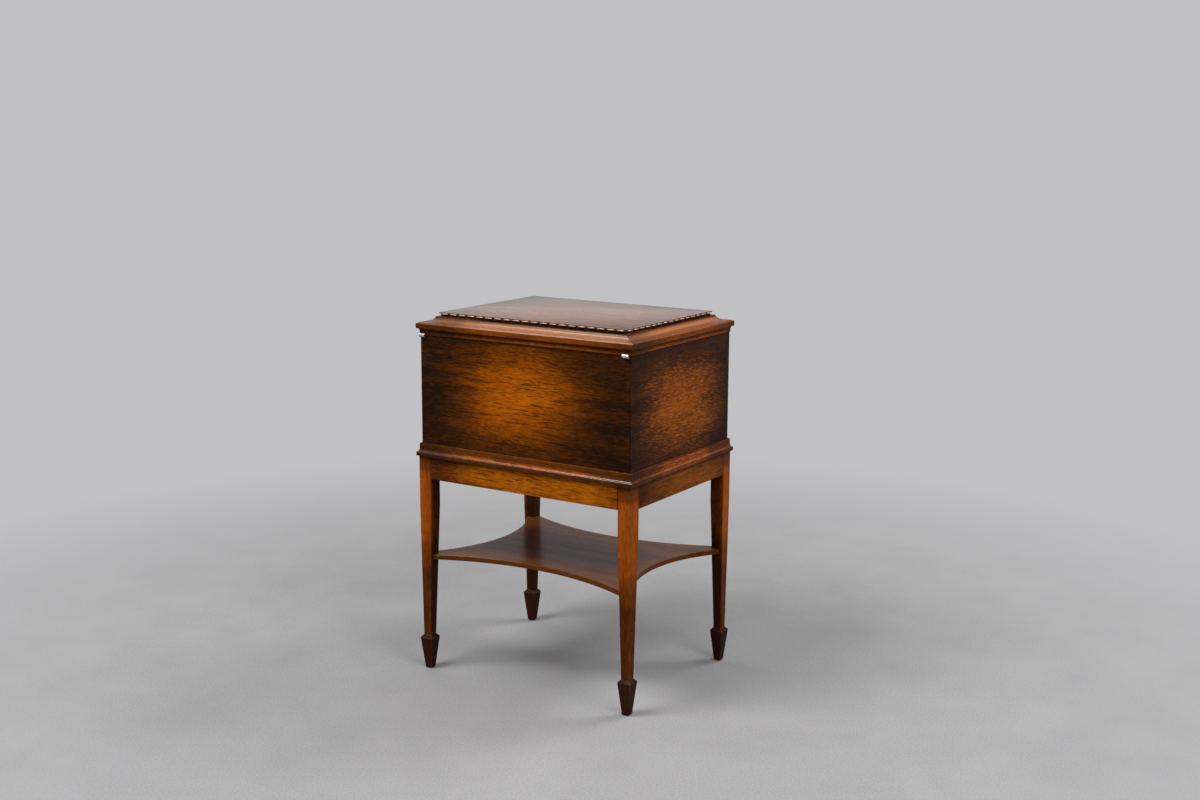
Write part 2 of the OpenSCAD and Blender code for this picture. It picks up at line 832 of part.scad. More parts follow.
module hinge_upper_leaves() {
    color(silvered) placed() both_sides() difference() {
        union() {
            block([hinge_x - hinge_w / 2, half_d - hinge_l, lid_z],
                  [hinge_x + hinge_w / 2, half_d + hinge_axis_out, lid_z + leaf_t]);
            barrel(knuckle_l + knuckle_gap / 2, 2 * knuckle_l - knuckle_gap / 2, knuckle_d);
        }
        barrel(-over, knuckle_l + knuckle_gap / 2, knuckle_d + 2 * knuckle_clear);
        barrel(2 * knuckle_l - knuckle_gap / 2, hinge_w + over, knuckle_d + 2 * knuckle_clear);
        barrel(-over, hinge_w + over, pin_d + 2 * pin_gap);
        for (y = screw_places) upper_screw_place(y) hinge_screw(snug);
    }
}

module hinge_pins() {
    color(silvered) placed() both_sides() barrel(0, hinge_w, pin_d);
}

module hinge_lower_screws() {
    color(silvered) placed() both_sides()
        for (y = screw_places) lower_screw_place(y) hinge_screw();
}

module hinge_upper_screws() {
    color(silvered) placed() both_sides()
        for (y = screw_places) upper_screw_place(y) hinge_screw();
}

// Lid

// From the joint upwards: a hollow under a fascia, then a cove up to the top board's bed
function lid_outline() = concat(
    [[-rim_t, lid_z], [rim_foot_out, lid_z]],
    quarter(fascia_out - fascia_step, lid_z + rim_foot_h, fascia_out - fascia_step - rim_foot_out,
            fascia_z - lid_z - rim_foot_h, 180, 90),
    [[fascia_out, fascia_z]],
    quarter(fascia_out - fascia_round, rim_top - fascia_round, fascia_round, fascia_round, 0, 90, 4),
    [[cove_foot_out, rim_top], [cove_foot_out, rim_top + cove_foot_h]],
    quarter(cove_foot_out - cove_step, cove_top, cove_foot_out - cove_step + cove_in,
            cove_h - cove_foot_h, 270, 180, 16),
    [[-cove_in - cove_bed_w, cove_top], [-cove_in - cove_bed_w, rim_top], [-rim_t, rim_top]]
);

module hinge_recess_upper() {
    both_sides() block([hinge_x - hinge_w / 2, half_d - hinge_l, lid_z - over],
                       [hinge_x + hinge_w / 2, half_d + fascia_out, lid_z + leaf_t]);
    both_sides() barrel(-knuckle_clear, hinge_w + knuckle_clear, knuckle_d + 2 * knuckle_clear);
    both_sides() for (y = screw_places) upper_screw_place(y) hinge_screw(snug);
}

module lid_moulding_x(sy) {
    color(oak) at_corner(1, sy) difference() {
        mitred_x(lid_outline());
        if (sy > 0) hinge_recess_upper();
        if (sy < 0) flip_y(true) catch_plate(snug);
    }
}

module lid_moulding_y(sx) {
    color(oak) at_corner(sx, 1) difference() {
        mitred_y(lid_outline());
        hinge_recess_upper();
    }
}

// The top board's section, with its upper edges rounded and its lower ones chamfered
function board_outline(half) = concat(
    [[-half + top_round / 2, cove_top], [half - top_round / 2, cove_top]],
    quarter(half - top_round, lid_top - top_round, top_round, top_round, 0, 90, 6),
    quarter(-half + top_round, lid_top - top_round, top_round, top_round, 90, 180, 6)
);

module lid_board() {
    x = half_w - top_in;
    y = half_d - top_in;
    color(oak) placed() intersection() {
        translate([0, y, 0]) rotate([90, 0, 0]) linear_extrude(2 * y) polygon(board_outline(x));
        translate([-x, 0, 0]) rotate([90, 0, 90]) linear_extrude(2 * x) polygon(board_outline(y));
    }
}

module lid_pad() {
    x = half_w - rim_t - rack_gap;
    y = half_d - rim_t - rack_gap;
    color(satin) placed() block([-x, -y, rim_top - pad_t], [x, y, rim_top]);
}

module catch_plate(grow = 0) {
    block([-lock_w / 2 - grow, lock_mid_y - catch_w / 2 - grow, lid_z - grow],
          [lock_w / 2 + grow, lock_mid_y + catch_w / 2 + grow, lid_z + leaf_t + grow]);
}

module lock_catch() {
    color(brass) placed() {
        catch_plate();
        for (s = [1, -1]) difference() {
            block([s * staple_pitch / 2 - staple_t / 2, lock_mid_y - staple_w / 2, lid_z - staple_drop],
                  [s * staple_pitch / 2 + staple_t / 2, lock_mid_y + staple_w / 2, lid_z + over]);
            translate([s * staple_pitch / 2 - staple_t, lock_mid_y, bolt_pin_z]) rotate([0, 90, 0])
                cylinder(d = staple_hole_d, h = 2 * staple_t);
        }
    }
}

// Drawers, drawn with the opening's lower edge at Z = 0 and then raised to it

module in_opening(z) {
    placed() translate([0, 0, z]) children();
}

module drawer_front(z) {
    color(oak) in_opening(z) difference() {
        block([-drawer_x, -half_d, front_gap], [drawer_x, in_front, drawer_h - front_gap]);
        block([-drawer_in_x - groove, in_front - groove, drawer_bottom_z],
              [drawer_in_x + groove, in_front + over, rack_z]);
        handle_places() post_place() post_bore();
    }
}

module drawer_sides(z) {
    color(oak) in_opening(z) both_sides() difference() {
        block([drawer_in_x, in_front, run_gap], [drawer_x, drawer_end, drawer_h - side_drop]);
        block([drawer_in_x - over, in_front - over, drawer_bottom_z],
              [drawer_in_x + groove, drawer_end + over, rack_z]);
    }
}

module drawer_back(z) {
    color(oak) in_opening(z) block([-drawer_in_x, drawer_end - drawer_side_t, rack_z],
                                   [drawer_in_x, drawer_end, drawer_h - side_drop - back_drop]);
}

module drawer_bottom(z) {
    color(oak) in_opening(z) block([-drawer_in_x - groove, in_front - groove, drawer_bottom_z],
                                   [drawer_in_x + groove, drawer_end, rack_z]);
}

module drawer_rack(z, pitch, notch) {
    color(baize) in_opening(z) translate([0, 0, rack_z])
        rack(drawer_in_x, in_front, drawer_end - drawer_side_t, drawer_bar_h, pitch, notch);
}

// Drop handles: a bail hangs from two ball-headed posts, each held by a nut inside the drawer

module handle_places() {
    for (s = [1, -1]) translate([s * handle_x, -half_d, drawer_h / 2 + pivot_up]) children();
}

// A post stands along -Y from the drawer front
module post_place() {
    for (s = [1, -1]) translate([s * post_pitch / 2, 0, 0]) rotate([90, 0, 0]) children();
}

module post_bore() {
    translate([0, 0, -front_t - over]) cylinder(d = neck_d + 2 * snug, h = front_t + 2 * over);
}

module handle_post() {
    difference() {
        union() {
            translate([0, 0, -front_t - nut_t]) cylinder(d = neck_d, h = front_t + nut_t + pivot_out);
            cylinder(d1 = rose_d, d2 = rose_d - rose_t, h = rose_t);
            translate([0, 0, pivot_out]) sphere(d = ball_d);
        }
        translate([-ball_d, 0, pivot_out]) rotate([0, 90, 0])
            cylinder(d = pin_d + 2 * pin_gap, h = 2 * ball_d);
    }
    difference() {
        translate([0, 0, -front_t - nut_t]) cylinder(d = nut_d, h = nut_t);
        translate([0, 0, -front_t - nut_t - over]) cylinder(d = neck_d + 2 * snug, h = nut_t + 2 * over);
    }
}

module handle_posts(z) {
    color(brass) in_opening(z) handle_places() post_place() handle_post();
}

// The bail hangs in the plane of its pivots, with its arms outside the posts
module bail() {
    arm_x = post_pitch / 2 + ball_d / 2 + arm_gap + eye_t / 2;
    for (s = [1, -1]) flip_x(s < 0) {
        translate([post_pitch / 2 - ball_d / 2, 0, 0]) rotate([0, 90, 0])
            cylinder(d = pin_d, h = arm_x - post_pitch / 2 + ball_d / 2);
        translate([arm_x - eye_t / 2, 0, 0]) rotate([0, 90, 0]) cylinder(d = eye_d, h = eye_t);
        translate([arm_x, 0, bail_r - bail_drop]) cylinder(d = bail_d, h = bail_drop - bail_r);
        translate([arm_x - bail_r, 0, bail_r - bail_drop]) rotate([90, 0, 0])
            rotate([0, 0, -90]) rotate_extrude(angle = 90) translate([bail_r, 0]) circle(d = bail_d);
        translate([0, 0, -bail_drop]) rotate([0, 90, 0]) cylinder(d = bail_d, h = arm_x - bail_r);
    }
    translate([0, 0, -bail_drop]) rotate([0, 90, 0]) sphere(d = bead_d);
}

module bail_at(s, z) {
    color(brass) in_opening(z)
        translate([s * handle_x, -half_d - pivot_out, drawer_h / 2 + pivot_up]) bail();
}

leg(-1, -1);  // leg_front_left
leg(1, -1);  // leg_front_right
leg(-1, 1);  // leg_back_left
leg(1, 1);  // leg_back_right
spade_feet();
apron_x(-1);  // apron_front
apron_x(1);  // apron_back
apron_y(-1);  // apron_left
apron_y(1);  // apron_right
corner_blocks();
stand_screws();
undertier();
undertier_dowels();
base_moulding_x(-1);  // base_moulding_front
base_moulding_x(1);  // base_moulding_back
base_moulding_y(-1);  // base_moulding_left
base_moulding_y(1);  // base_moulding_right
side(-1);  // side_left
side(1);  // side_right
back_panel();
bottom_board();
compartment_floor();
stile(-1);  // stile_left
stile(1);  // stile_right
front_board();
middle_rail();
bottom_rail();
drawer_runners();
cutlery_rack();
lock_case();
lock_bolt();
escutcheon();
hinge_lower_leaves();
hinge_pins();
hinge_lower_screws();
lid_board();
lid_moulding_x(-1);  // lid_moulding_front
lid_moulding_x(1);  // lid_moulding_back
lid_moulding_y(-1);  // lid_moulding_left
lid_moulding_y(1);  // lid_moulding_right
lid_pad();
hinge_upper_leaves();
hinge_upper_screws();
lock_catch();
drawer_front(upper_z);  // upper_drawer_front
drawer_sides(upper_z);  // upper_drawer_sides
drawer_back(upper_z);  // upper_drawer_back
drawer_bottom(upper_z);  // upper_drawer_bottom
drawer_rack(upper_z, spoon_pitch, spoon_notch);  // upper_drawer_rack
handle_posts(upper_z);  // upper_handle_posts
bail_at(-1, upper_z);  // upper_bail_left
bail_at(1, upper_z);  // upper_bail_right
drawer_front(lower_z);  // lower_drawer_front
drawer_sides(lower_z);  // lower_drawer_sides
drawer_back(lower_z);  // lower_drawer_back
drawer_bottom(lower_z);  // lower_drawer_bottom
drawer_rack(lower_z, knife_pitch, knife_notch);  // lower_drawer_rack
handle_posts(lower_z);  // lower_handle_posts
bail_at(-1, lower_z);  // lower_bail_left
bail_at(1, lower_z);  // lower_bail_right
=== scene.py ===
import json
import math

import bmesh
import bpy
from mathutils import Matrix, Vector

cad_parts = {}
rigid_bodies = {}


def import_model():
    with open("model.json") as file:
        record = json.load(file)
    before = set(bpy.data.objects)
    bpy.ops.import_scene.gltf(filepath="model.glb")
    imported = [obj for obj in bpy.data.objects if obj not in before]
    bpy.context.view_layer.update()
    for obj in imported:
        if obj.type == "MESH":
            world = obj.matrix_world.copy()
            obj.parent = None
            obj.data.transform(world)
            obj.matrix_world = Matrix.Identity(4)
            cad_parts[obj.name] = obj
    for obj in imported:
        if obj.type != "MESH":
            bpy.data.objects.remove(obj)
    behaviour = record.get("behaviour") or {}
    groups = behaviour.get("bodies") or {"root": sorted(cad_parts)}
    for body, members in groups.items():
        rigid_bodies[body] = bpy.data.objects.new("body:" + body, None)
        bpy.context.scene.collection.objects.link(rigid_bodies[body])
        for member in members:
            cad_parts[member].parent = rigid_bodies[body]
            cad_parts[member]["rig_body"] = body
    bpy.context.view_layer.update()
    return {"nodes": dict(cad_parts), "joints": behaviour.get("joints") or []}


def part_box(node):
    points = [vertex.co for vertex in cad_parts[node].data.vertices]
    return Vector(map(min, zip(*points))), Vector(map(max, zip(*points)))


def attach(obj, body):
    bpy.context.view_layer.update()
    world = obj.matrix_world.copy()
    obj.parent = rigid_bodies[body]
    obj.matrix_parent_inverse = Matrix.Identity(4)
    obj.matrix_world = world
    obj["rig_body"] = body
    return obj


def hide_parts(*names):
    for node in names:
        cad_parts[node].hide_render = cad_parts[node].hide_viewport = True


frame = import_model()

nodes = frame["nodes"]
scene = bpy.context.scene

# Camera: it stands behind the cabinet, at the corner of the back and the left side, and looks
# a little down on the lid. Its place and lens follow the edges of the box, the lid and the feet.

CAMERA_PLACE = Vector((-1.83651, 2.78917, 1.21597))
CAMERA_LENS = 47.855
CAMERA_FILM_WIDTH = 36
CAMERA_HEADING = math.radians(-57.476)
CAMERA_PITCH = math.radians(10.653)
CAMERA_ROLL = math.radians(0.2933)

ahead = Vector((
    math.cos(CAMERA_PITCH) * math.cos(CAMERA_HEADING),
    math.cos(CAMERA_PITCH) * math.sin(CAMERA_HEADING),
    -math.sin(CAMERA_PITCH),
))
level_right = Vector((math.sin(CAMERA_HEADING), -math.cos(CAMERA_HEADING), 0))
level_up = level_right.cross(ahead)
right = math.cos(CAMERA_ROLL) * level_right + math.sin(CAMERA_ROLL) * level_up
up = math.cos(CAMERA_ROLL) * level_up - math.sin(CAMERA_ROLL) * level_right
lens = bpy.data.cameras.new("camera")
lens.lens = CAMERA_LENS
lens.sensor_width = CAMERA_FILM_WIDTH
camera = bpy.data.objects.new("camera", lens)
turn = Matrix((right, up, -ahead)).transposed().to_4x4()
camera.matrix_world = Matrix.Translation(CAMERA_PLACE) @ turn
scene.collection.objects.link(camera)
scene.camera = camera
scene.view_settings.view_transform = "Standard"

# Legs: four square legs of solid oak, planed to a taper on all four faces from a little under the
# aprons, stained brown and French polished. The arrises are softened and rubbed lighter. Painted
# shade darkens the top of each leg under the base moulding, and its inner faces under the box.

MERGE_GAP = 1e-5
FLAT_ANGLE = math.radians(0.5)
SHARP_ANGLE = math.radians(35)
GRAIN_TURN = {"X": (0, 0, 0), "Y": (0, 0, math.pi / 2), "Z": (0, -math.pi / 2, 0)}
UNSHADED = 1000.0
BAND_SOFTNESS = 0.3
# Painted shade on the legs' inner faces, which stand in shadow under the box
INNER_START = -0.006
INNER_END = 0.010
INNER_PAINTED_SHADE = 0.75
DIAGONAL = math.sqrt(0.5)
# Painted shade at the top of each leg, under the base moulding
LEG_TOP_PAINTED_SHADE = ("Z", 0.462, 0.020, (56, 26, 8), 0.5)


def srgb(red, green, blue):
    """A colour given in 0 to 255, as Blender's own linear numbers"""
    linear = []
    for part in (red, green, blue):
        value = part / 255
        linear.append(value / 12.92 if value <= 0.04045 else ((value + 0.055) / 1.055) ** 2.4)
    return (*linear, 1.0)


def add(tree, kind, inputs=None, **settings):
    """A node with its settings, and each of its inputs linked to a socket or set to a value"""
    node = tree.nodes.new(kind)
    for key, value in settings.items():
        setattr(node, key, value)
    for key, value in (inputs or {}).items():
        if isinstance(value, bpy.types.NodeSocket):
            tree.links.new(value, node.inputs[key])
        else:
            node.inputs[key].default_value = value
    return node


def maths(tree, operation, *values):
    """The result of one sum on numbers or sockets"""
    return add(tree, "ShaderNodeMath", dict(enumerate(values)), operation=operation).outputs[0]


def vectors(tree, operation, *values, result=0):
    """The result of one sum on vectors"""
    node = add(tree, "ShaderNodeVectorMath", dict(enumerate(values)), operation=operation)
    return node.outputs[result]


def vector(tree, **parts):
    """A vector from the sockets or numbers that are given for its X, Y and Z"""
    return add(tree, "ShaderNodeCombineXYZ", parts).outputs[0]


def ranged(tree, value, low, high, to_low=0.0, to_high=1.0):
    """A value eased from one range to another"""
    return add(tree, "ShaderNodeMapRange", {
        "Value": value, "From Min": low, "From Max": high, "To Min": to_low, "To Max": to_high,
    }, interpolation_type="SMOOTHSTEP").outputs[0]


def noise(tree, place, stretch, detail=2.0, roughness=0.5):
    """Fine noise, with so many cells to the metre along each axis"""
    return add(tree, "ShaderNodeTexNoise", {
        "Vector": vectors(tree, "MULTIPLY", place, stretch),
        "Scale": 1.0, "Detail": detail, "Roughness": roughness,
    }).outputs["Fac"]


def blended(tree, one, share, other, rest):
    """The sum of two values, each by its share"""
    return maths(tree, "ADD", maths(tree, "MULTIPLY", one, share), maths(tree, "MULTIPLY", other, rest))


def mixed(tree, amount, one, other):
    """Two colours mixed by an amount"""
    return add(tree, "ShaderNodeMix", {0: amount, 6: one, 7: other}, data_type="RGBA").outputs[2]


def ramp(tree, value, stops):
    """A colour ramp over a value, with each stop as its position and its colour"""
    node = add(tree, "ShaderNodeValToRGB", {0: value})
    while len(node.color_ramp.elements) < len(stops):
        node.color_ramp.elements.new(0.5)
    for element, (position, colour) in zip(node.color_ramp.elements, stops):
        element.position = position
        element.color = colour
    return node.outputs[0]


def stained(*colours, at=(0.0, 0.35, 0.7, 1.0)):
    """A ramp's stops, from a stain's clearest colour to its darkest"""
    return [(position, srgb(*colour)) for position, colour in zip(at, colours)]


def effect(name, inputs, outputs):
    """A shader node group with named inputs, each with its first value, and named outputs"""
    tree = bpy.data.node_groups.new(name, "ShaderNodeTree")
    for socket, value in inputs.items():
        kind = "NodeSocketFloat" if isinstance(value, float) else "NodeSocketVector"
        tree.interface.new_socket(socket, in_out="INPUT", socket_type=kind).default_value = value
    for socket in outputs:
        tree.interface.new_socket(socket, in_out="OUTPUT", socket_type="NodeSocketFloat")
    return tree, add(tree, "NodeGroupInput").outputs


def oak_figure():
    """Oak's figure along X: broad tone, fine lines, short dark pores and slanting ray flecks"""
    tree, given = effect(
        "Oak figure", {"Place": (0, 0, 0), "Seed": 0.0}, ["Tone", "Pores", "Flecks", "Height"],
    )
    seed = given["Seed"]
    place = vectors(tree, "ADD", given["Place"], vector(tree, X=seed, Y=seed, Z=seed))
    wave = maths(tree, "SUBTRACT", noise(tree, place, (4, 9, 9), detail=1), 0.5)
    drift = vector(tree, Y=maths(tree, "MULTIPLY", wave, 0.016), Z=maths(tree, "MULTIPLY", wave, 0.014))
    place = vectors(tree, "ADD", place, drift)
    broad = noise(tree, place, (5, 36, 36))
    lines = noise(tree, place, (64, 430, 430), roughness=0.6)
    dashes = ranged(tree, noise(tree, place, (15, 270, 270), detail=1), 0.59, 0.63)
    pores = ranged(tree, noise(tree, place, (56, 520, 520), detail=1), 0.53, 0.60)
    dark = maths(tree, "MAXIMUM", dashes, maths(tree, "MULTIPLY", pores, 0.6))
    slanted = add(tree, "ShaderNodeVectorRotate", {
        "Vector": place, "Rotation": (0.05, 0.16, 0.16),
    }, rotation_type="EULER_XYZ").outputs[0]
    flecks = ranged(tree, noise(tree, slanted, (40, 360, 360), detail=1), 0.52, 0.60)
    tone = blended(tree, broad, 0.45, lines, 0.55)
    add(tree, "NodeGroupOutput", {
        "Tone": ranged(tree, tone, 0.34, 0.66), "Pores": dark, "Flecks": flecks,
        "Height": maths(tree, "SUBTRACT", lines, dark),
    })
    return tree


def dark_border():
    """The stain's shading: clear in the middle of a face and dark towards its edges"""
    tree, given = effect(
        "Shaded stain", {"Place": (0, 0, 0), "Half size": (1, 1, 1), "Start": 0.5, "End": 1.0}, ["Shade"],
    )
    share = vectors(tree, "ABSOLUTE", vectors(tree, "DIVIDE", given["Place"], given["Half size"]))
    cube = vectors(tree, "MULTIPLY", vectors(tree, "MULTIPLY", share, share), share)
    parts = add(tree, "ShaderNodeSeparateXYZ", {0: cube}).outputs
    total = maths(tree, "ADD", maths(tree, "ADD", parts[0], parts[1]), parts[2])
    reach = maths(tree, "POWER", total, 1 / 3)
    cloud = maths(tree, "SUBTRACT", noise(tree, given["Place"], (6, 6, 20), detail=3), 0.5)
    reach = maths(tree, "ADD", reach, maths(tree, "MULTIPLY", cloud, 0.5))
    add(tree, "NodeGroupOutput", {"Shade": ranged(tree, reach, given["Start"], given["End"])})
    return tree


FIGURE = oak_figure()
SHADED = dark_border()


def banded(tree, along, middle, half_width, amount):
    """An amount that holds for a half width on both sides of a middle, with soft ends"""
    off = maths(tree, "ABSOLUTE", maths(tree, "SUBTRACT", along, middle))
    return ranged(tree, off, half_width * (1 + BAND_SOFTNESS), half_width * (1 - BAND_SOFTNESS), 0.0, amount)


def blank(name):
    """A new material with its node tree, its shader and the place of each point"""
    material = bpy.data.materials.new(name)
    material.use_nodes = True
    tree = material.node_tree
    place = add(tree, "ShaderNodeTexCoord").outputs["Object"]
    return material, tree, tree.nodes["Principled BSDF"], place


def dress(tree, shader, colour, roughness, bump, values):
    """Gives a shader its colour, its roughness and its relief, and the values that don't vary"""
    tree.links.new(colour, shader.inputs["Base Color"])
    tree.links.new(roughness, shader.inputs["Roughness"])
    tree.links.new(add(tree, "ShaderNodeBump", bump).outputs[0], shader.inputs["Normal"])
    for socket, value in values.items():
        shader.inputs[socket].default_value = value


def oak(name, low, high, grain, tones, shade=0.6, start=0.45, end=1.1, seed=0.0, rough=0.36,
        coat=0.0, varied=0.4, pores=0.5, flecks=0.25, wear=None, worn=0.6, skip="", offset=(0, 0, 0),
        spread=(1, 1, 1), inner=None, bands=(), gloss_band=None):
    """Stained and polished oak for a piece between two corners, with its grain along one axis

    The stain darkens by shade, from start to end of the way to the piece's edges, except along
    the axes in skip. Offset and spread move and stretch this, and faces towards the direction in
    inner get painted shade on top, as in the shade under the box. A band is an axis, its middle,
    its half width, a colour and an amount, and some bands paint shade and highlight. The gloss
    band is a height and a half width. Each lies alike on both sides of the cabinet's middle.
    """
    material, tree, shader, place = blank(name)
    middle = (low + high) / 2 + Vector(offset)
    half = (high - low) / 2
    reach = [UNSHADED if "XYZ"[k] in skip else half[k] * spread[k] for k in range(3)]
    turned = add(tree, "ShaderNodeMapping", {
        "Vector": place, "Location": middle, "Rotation": GRAIN_TURN[grain],
    }, vector_type="TEXTURE").outputs[0]
    centred = add(tree, "ShaderNodeMapping", {"Vector": place, "Location": -middle}).outputs[0]
    figure = add(tree, "ShaderNodeGroup", {"Place": turned, "Seed": seed}, node_tree=FIGURE).outputs
    border = add(tree, "ShaderNodeGroup", {
        "Place": centred, "Half size": reach, "Start": start, "End": end,
    }, node_tree=SHADED).outputs["Shade"]
    depth = blended(tree, figure["Tone"], varied, border, shade)
    # Painted shade on the faces that turn towards inner
    if inner:
        inward = vectors(tree, "DOT_PRODUCT", centred, inner, result="Value")
        depth = maths(tree, "ADD", depth, ranged(tree, inward, INNER_START, INNER_END, 0.0, INNER_PAINTED_SHADE))
    colour = ramp(tree, depth, tones)
    clear = maths(tree, "SUBTRACT", 1.0, border)
    light = maths(tree, "MULTIPLY", maths(tree, "MULTIPLY", figure["Flecks"], flecks), clear)
    colour = mixed(tree, light, colour, tones[0][1])
    dark = maths(tree, "MULTIPLY", figure["Pores"], pores)
    colour = mixed(tree, dark, colour, tones[-1][1])
    if wear:
        arris = add(tree, "ShaderNodeAttribute", attribute_name="arris").outputs["Fac"]
        rubbed = ranged(tree, noise(tree, place, (60, 60, 60), detail=3), 0.42, 0.62)
        rubbed = maths(tree, "MULTIPLY", rubbed, worn)
        colour = mixed(tree, maths(tree, "MULTIPLY", arris, rubbed), colour, wear)
    if bands or gloss_band:
        away = add(tree, "ShaderNodeSeparateXYZ", {0: vectors(tree, "ABSOLUTE", place)}).outputs
    if bands:
        strength = maths(tree, "MULTIPLY", ranged(tree, figure["Tone"], 0.0, 1.0, 1.15, 0.7),
                         ranged(tree, border, 0.0, 1.0, 1.0, 0.25))
    for axis, band_middle, half_width, band_colour, amount in bands:
        band = banded(tree, away[axis], band_middle, half_width, amount)
        colour = mixed(tree, maths(tree, "MULTIPLY", band, strength), colour, srgb(*band_colour))
    dress(tree, shader, colour, ranged(tree, figure["Tone"], 0, 1, rough - 0.05, rough + 0.08),
          {"Strength": 0.25, "Distance": 0.0004, "Height": figure["Height"]},
          {"IOR": 1.1, "Coat Weight": coat, "Coat Roughness": 0.2})
    if gloss_band:
        tree.links.new(banded(tree, away["Z"], *gloss_band, coat), shader.inputs["Coat Weight"])
    return material


def as_mesh(piece):
    """A piece with what its modifiers make, as a plain mesh"""
    bpy.context.view_layer.update()
    return bpy.data.meshes.new_from_object(piece.evaluated_get(bpy.context.evaluated_depsgraph_get()))


def settled(piece):
    """What a piece's modifiers make becomes its own plain mesh"""
    mesh = as_mesh(piece)
    piece.modifiers.clear()
    piece.data = mesh


def new_piece(name, mesh, material=None):
    """A new object at the origin, with its place in its mesh"""
    piece = bpy.data.objects.new(name, mesh)
    scene.collection.objects.link(piece)
    if material:
        mesh.materials.clear()
        mesh.materials.append(material)
    return piece


def eased(node, material, width, shortest=0.004, segments=2):
    """A CAD piece with its long arrises rounded over, and these arrises marked for wear"""
    mesh = nodes[node].data.copy()
    shell = bmesh.new()
    shell.from_mesh(mesh)
    bmesh.ops.remove_doubles(shell, verts=shell.verts, dist=MERGE_GAP)
    bmesh.ops.dissolve_limit(shell, angle_limit=FLAT_ANGLE, verts=shell.verts, edges=shell.edges)
    weight = shell.edges.layers.float.new("bevel_weight_edge")
    for edge in shell.edges:
        sharp = len(edge.link_faces) == 2 and edge.calc_face_angle(0) > SHARP_ANGLE
        edge.smooth = not sharp
        if sharp and edge.calc_length() >= shortest:
            edge[weight] = 1.0
    for face in shell.faces:
        face.smooth = True
    shell.to_mesh(mesh)
    shell.free()
    mesh.materials.clear()
    mesh.materials.append(material)
    mesh.materials.append(material)
    piece = new_piece(node + "_eased", mesh)
    round_over = piece.modifiers.new("round_over", "BEVEL")
    round_over.limit_method = "WEIGHT"
    round_over.width = width
    round_over.segments = segments
    round_over.harden_normals = True
    round_over.material = 1
    settled(piece)
    mesh = piece.data
    arris = mesh.attributes.new("arris", "FLOAT", "FACE")
    for polygon in mesh.polygons:
        arris.data[polygon.index].value = float(polygon.material_index == 1)
        polygon.material_index = 0
    mesh.materials.pop(index=1)
    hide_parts(node)
    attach(piece, nodes[node]["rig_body"])


leg_tones = stained((168, 84, 16), (130, 60, 8), (90, 43, 8), (45, 22, 7))
rubbed_oak = srgb(140, 72, 18)
for number, name in enumerate(("leg_front_left", "leg_front_right", "leg_back_left", "leg_back_right")):
    low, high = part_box(name)
    inward = Vector((math.copysign(DIAGONAL, -low.x - high.x), math.copysign(DIAGONAL, -low.y - high.y), 0))
    finish = oak(name + "_oak", low, high, "Z", leg_tones, start=0.2, end=0.74,
                 seed=3.1 * number, varied=0.35, pores=0.3, flecks=0.1, wear=rubbed_oak, worn=0.2,
                 skip="XY", offset=(0, 0, 0.082), inner=inward, bands=[LEG_TOP_PAINTED_SHADE])
    eased(name, finish, width=0.001)

# Spade feet: four blocks of darker oak, cut to a sloping shoulder and a narrow toe, and joined to
# the legs by round spigots. Their arrises are coloured paler.

foot_tones = stained((58, 30, 17), (39, 20, 11), (21, 10, 6), at=(0.0, 0.5, 1.0))
finish = oak("spade_feet_oak", *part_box("spade_feet"), "Z", foot_tones, shade=0.0, rough=0.42,
             wear=srgb(104, 64, 46), seed=5.0)
eased("spade_feet", finish, width=0.0007)

# Aprons: four rails of oak tenoned into the legs under the box, plain on the face. The stain is
# golden in the middle of each rail and browner towards the legs, with a painted shadow line at the
# joints.

FOUR_SIDES = (("front", "X"), ("back", "X"), ("left", "Y"), ("right", "Y"))
ACROSS_GRAIN = {"X": "YZ", "Y": "XZ"}
# A painted shadow line at each end of a rail, where it meets a leg
PAINTED_JOINT_SHADOW = (0.0014, (14, 7, 3), 1.0)

apron_tones = {
    "X": stained((176, 96, 10), (136, 71, 5), (92, 46, 5), (44, 22, 5)),
    "Y": stained((138, 72, 14), (106, 54, 9), (78, 39, 8), (40, 20, 6)),
}
leg_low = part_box("leg_back_right")[0]
joint_at = {"X": leg_low.x, "Y": leg_low.y}
for number, (side, grain) in enumerate(FOUR_SIDES):
    name = "apron_" + side
    finish = oak(name + "_oak", *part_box(name), grain, apron_tones[grain], start=0.5,
                 offset=(-0.04, -0.02, 0), seed=7.3 + number, pores=0.6, wear=rubbed_oak,
                 skip=ACROSS_GRAIN[grain], bands=[(grain, joint_at[grain], *PAINTED_JOINT_SHADOW)])
    eased(name, finish, width=0.0008)

# Corner blocks, drawer runners, the box's bottom and the compartment's floor: plain sawn oak that
# nobody sees, cleaned up by plane, left without polish and glued. The undertier's dowels match it.

plain_tones = stained((186, 142, 92), (164, 118, 70), (112, 74, 40), at=(0.0, 0.5, 1.0))


def plain_oak(name, grain, seed):
    """Unpolished oak for one of the hidden pieces"""
    return oak(name + "_plain_oak", *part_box(name), grain, plain_tones, shade=0.0, rough=0.6,
               pores=0.35, flecks=0.35, seed=seed)


for number, (name, grain) in enumerate((
        ("corner_blocks", "Y"), ("drawer_runners", "Y"), ("bottom_board", "X"),
        ("compartment_floor", "X"), ("undertier_dowels", "X"))):
    eased(name, plain_oak(name, grain, 20.0 + number), width=0.0005)

# Undertier: one oak board with hollow sides between the legs, held by a dowel in each of them.
# Its polished top mirrors the legs in a soft grey sheen.

TIER_GLOSS_HALF_DEPTH = 0.001

tier_tones = stained((112, 62, 20), (90, 49, 15), (68, 37, 12), (42, 23, 9), at=(0.0, 0.4, 0.75, 1.0))
tier_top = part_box("undertier")[1].z
finish = oak("undertier_oak", *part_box("undertier"), "X", tier_tones, shade=0.3, start=0.4, end=1.2,
             seed=31.0, varied=0.3, pores=0.25, coat=0.3, wear=rubbed_oak, worn=0.25, skip="Z",
             gloss_band=(tier_top, TIER_GLOSS_HALF_DEPTH))
eased("undertier", finish, width=0.0015)
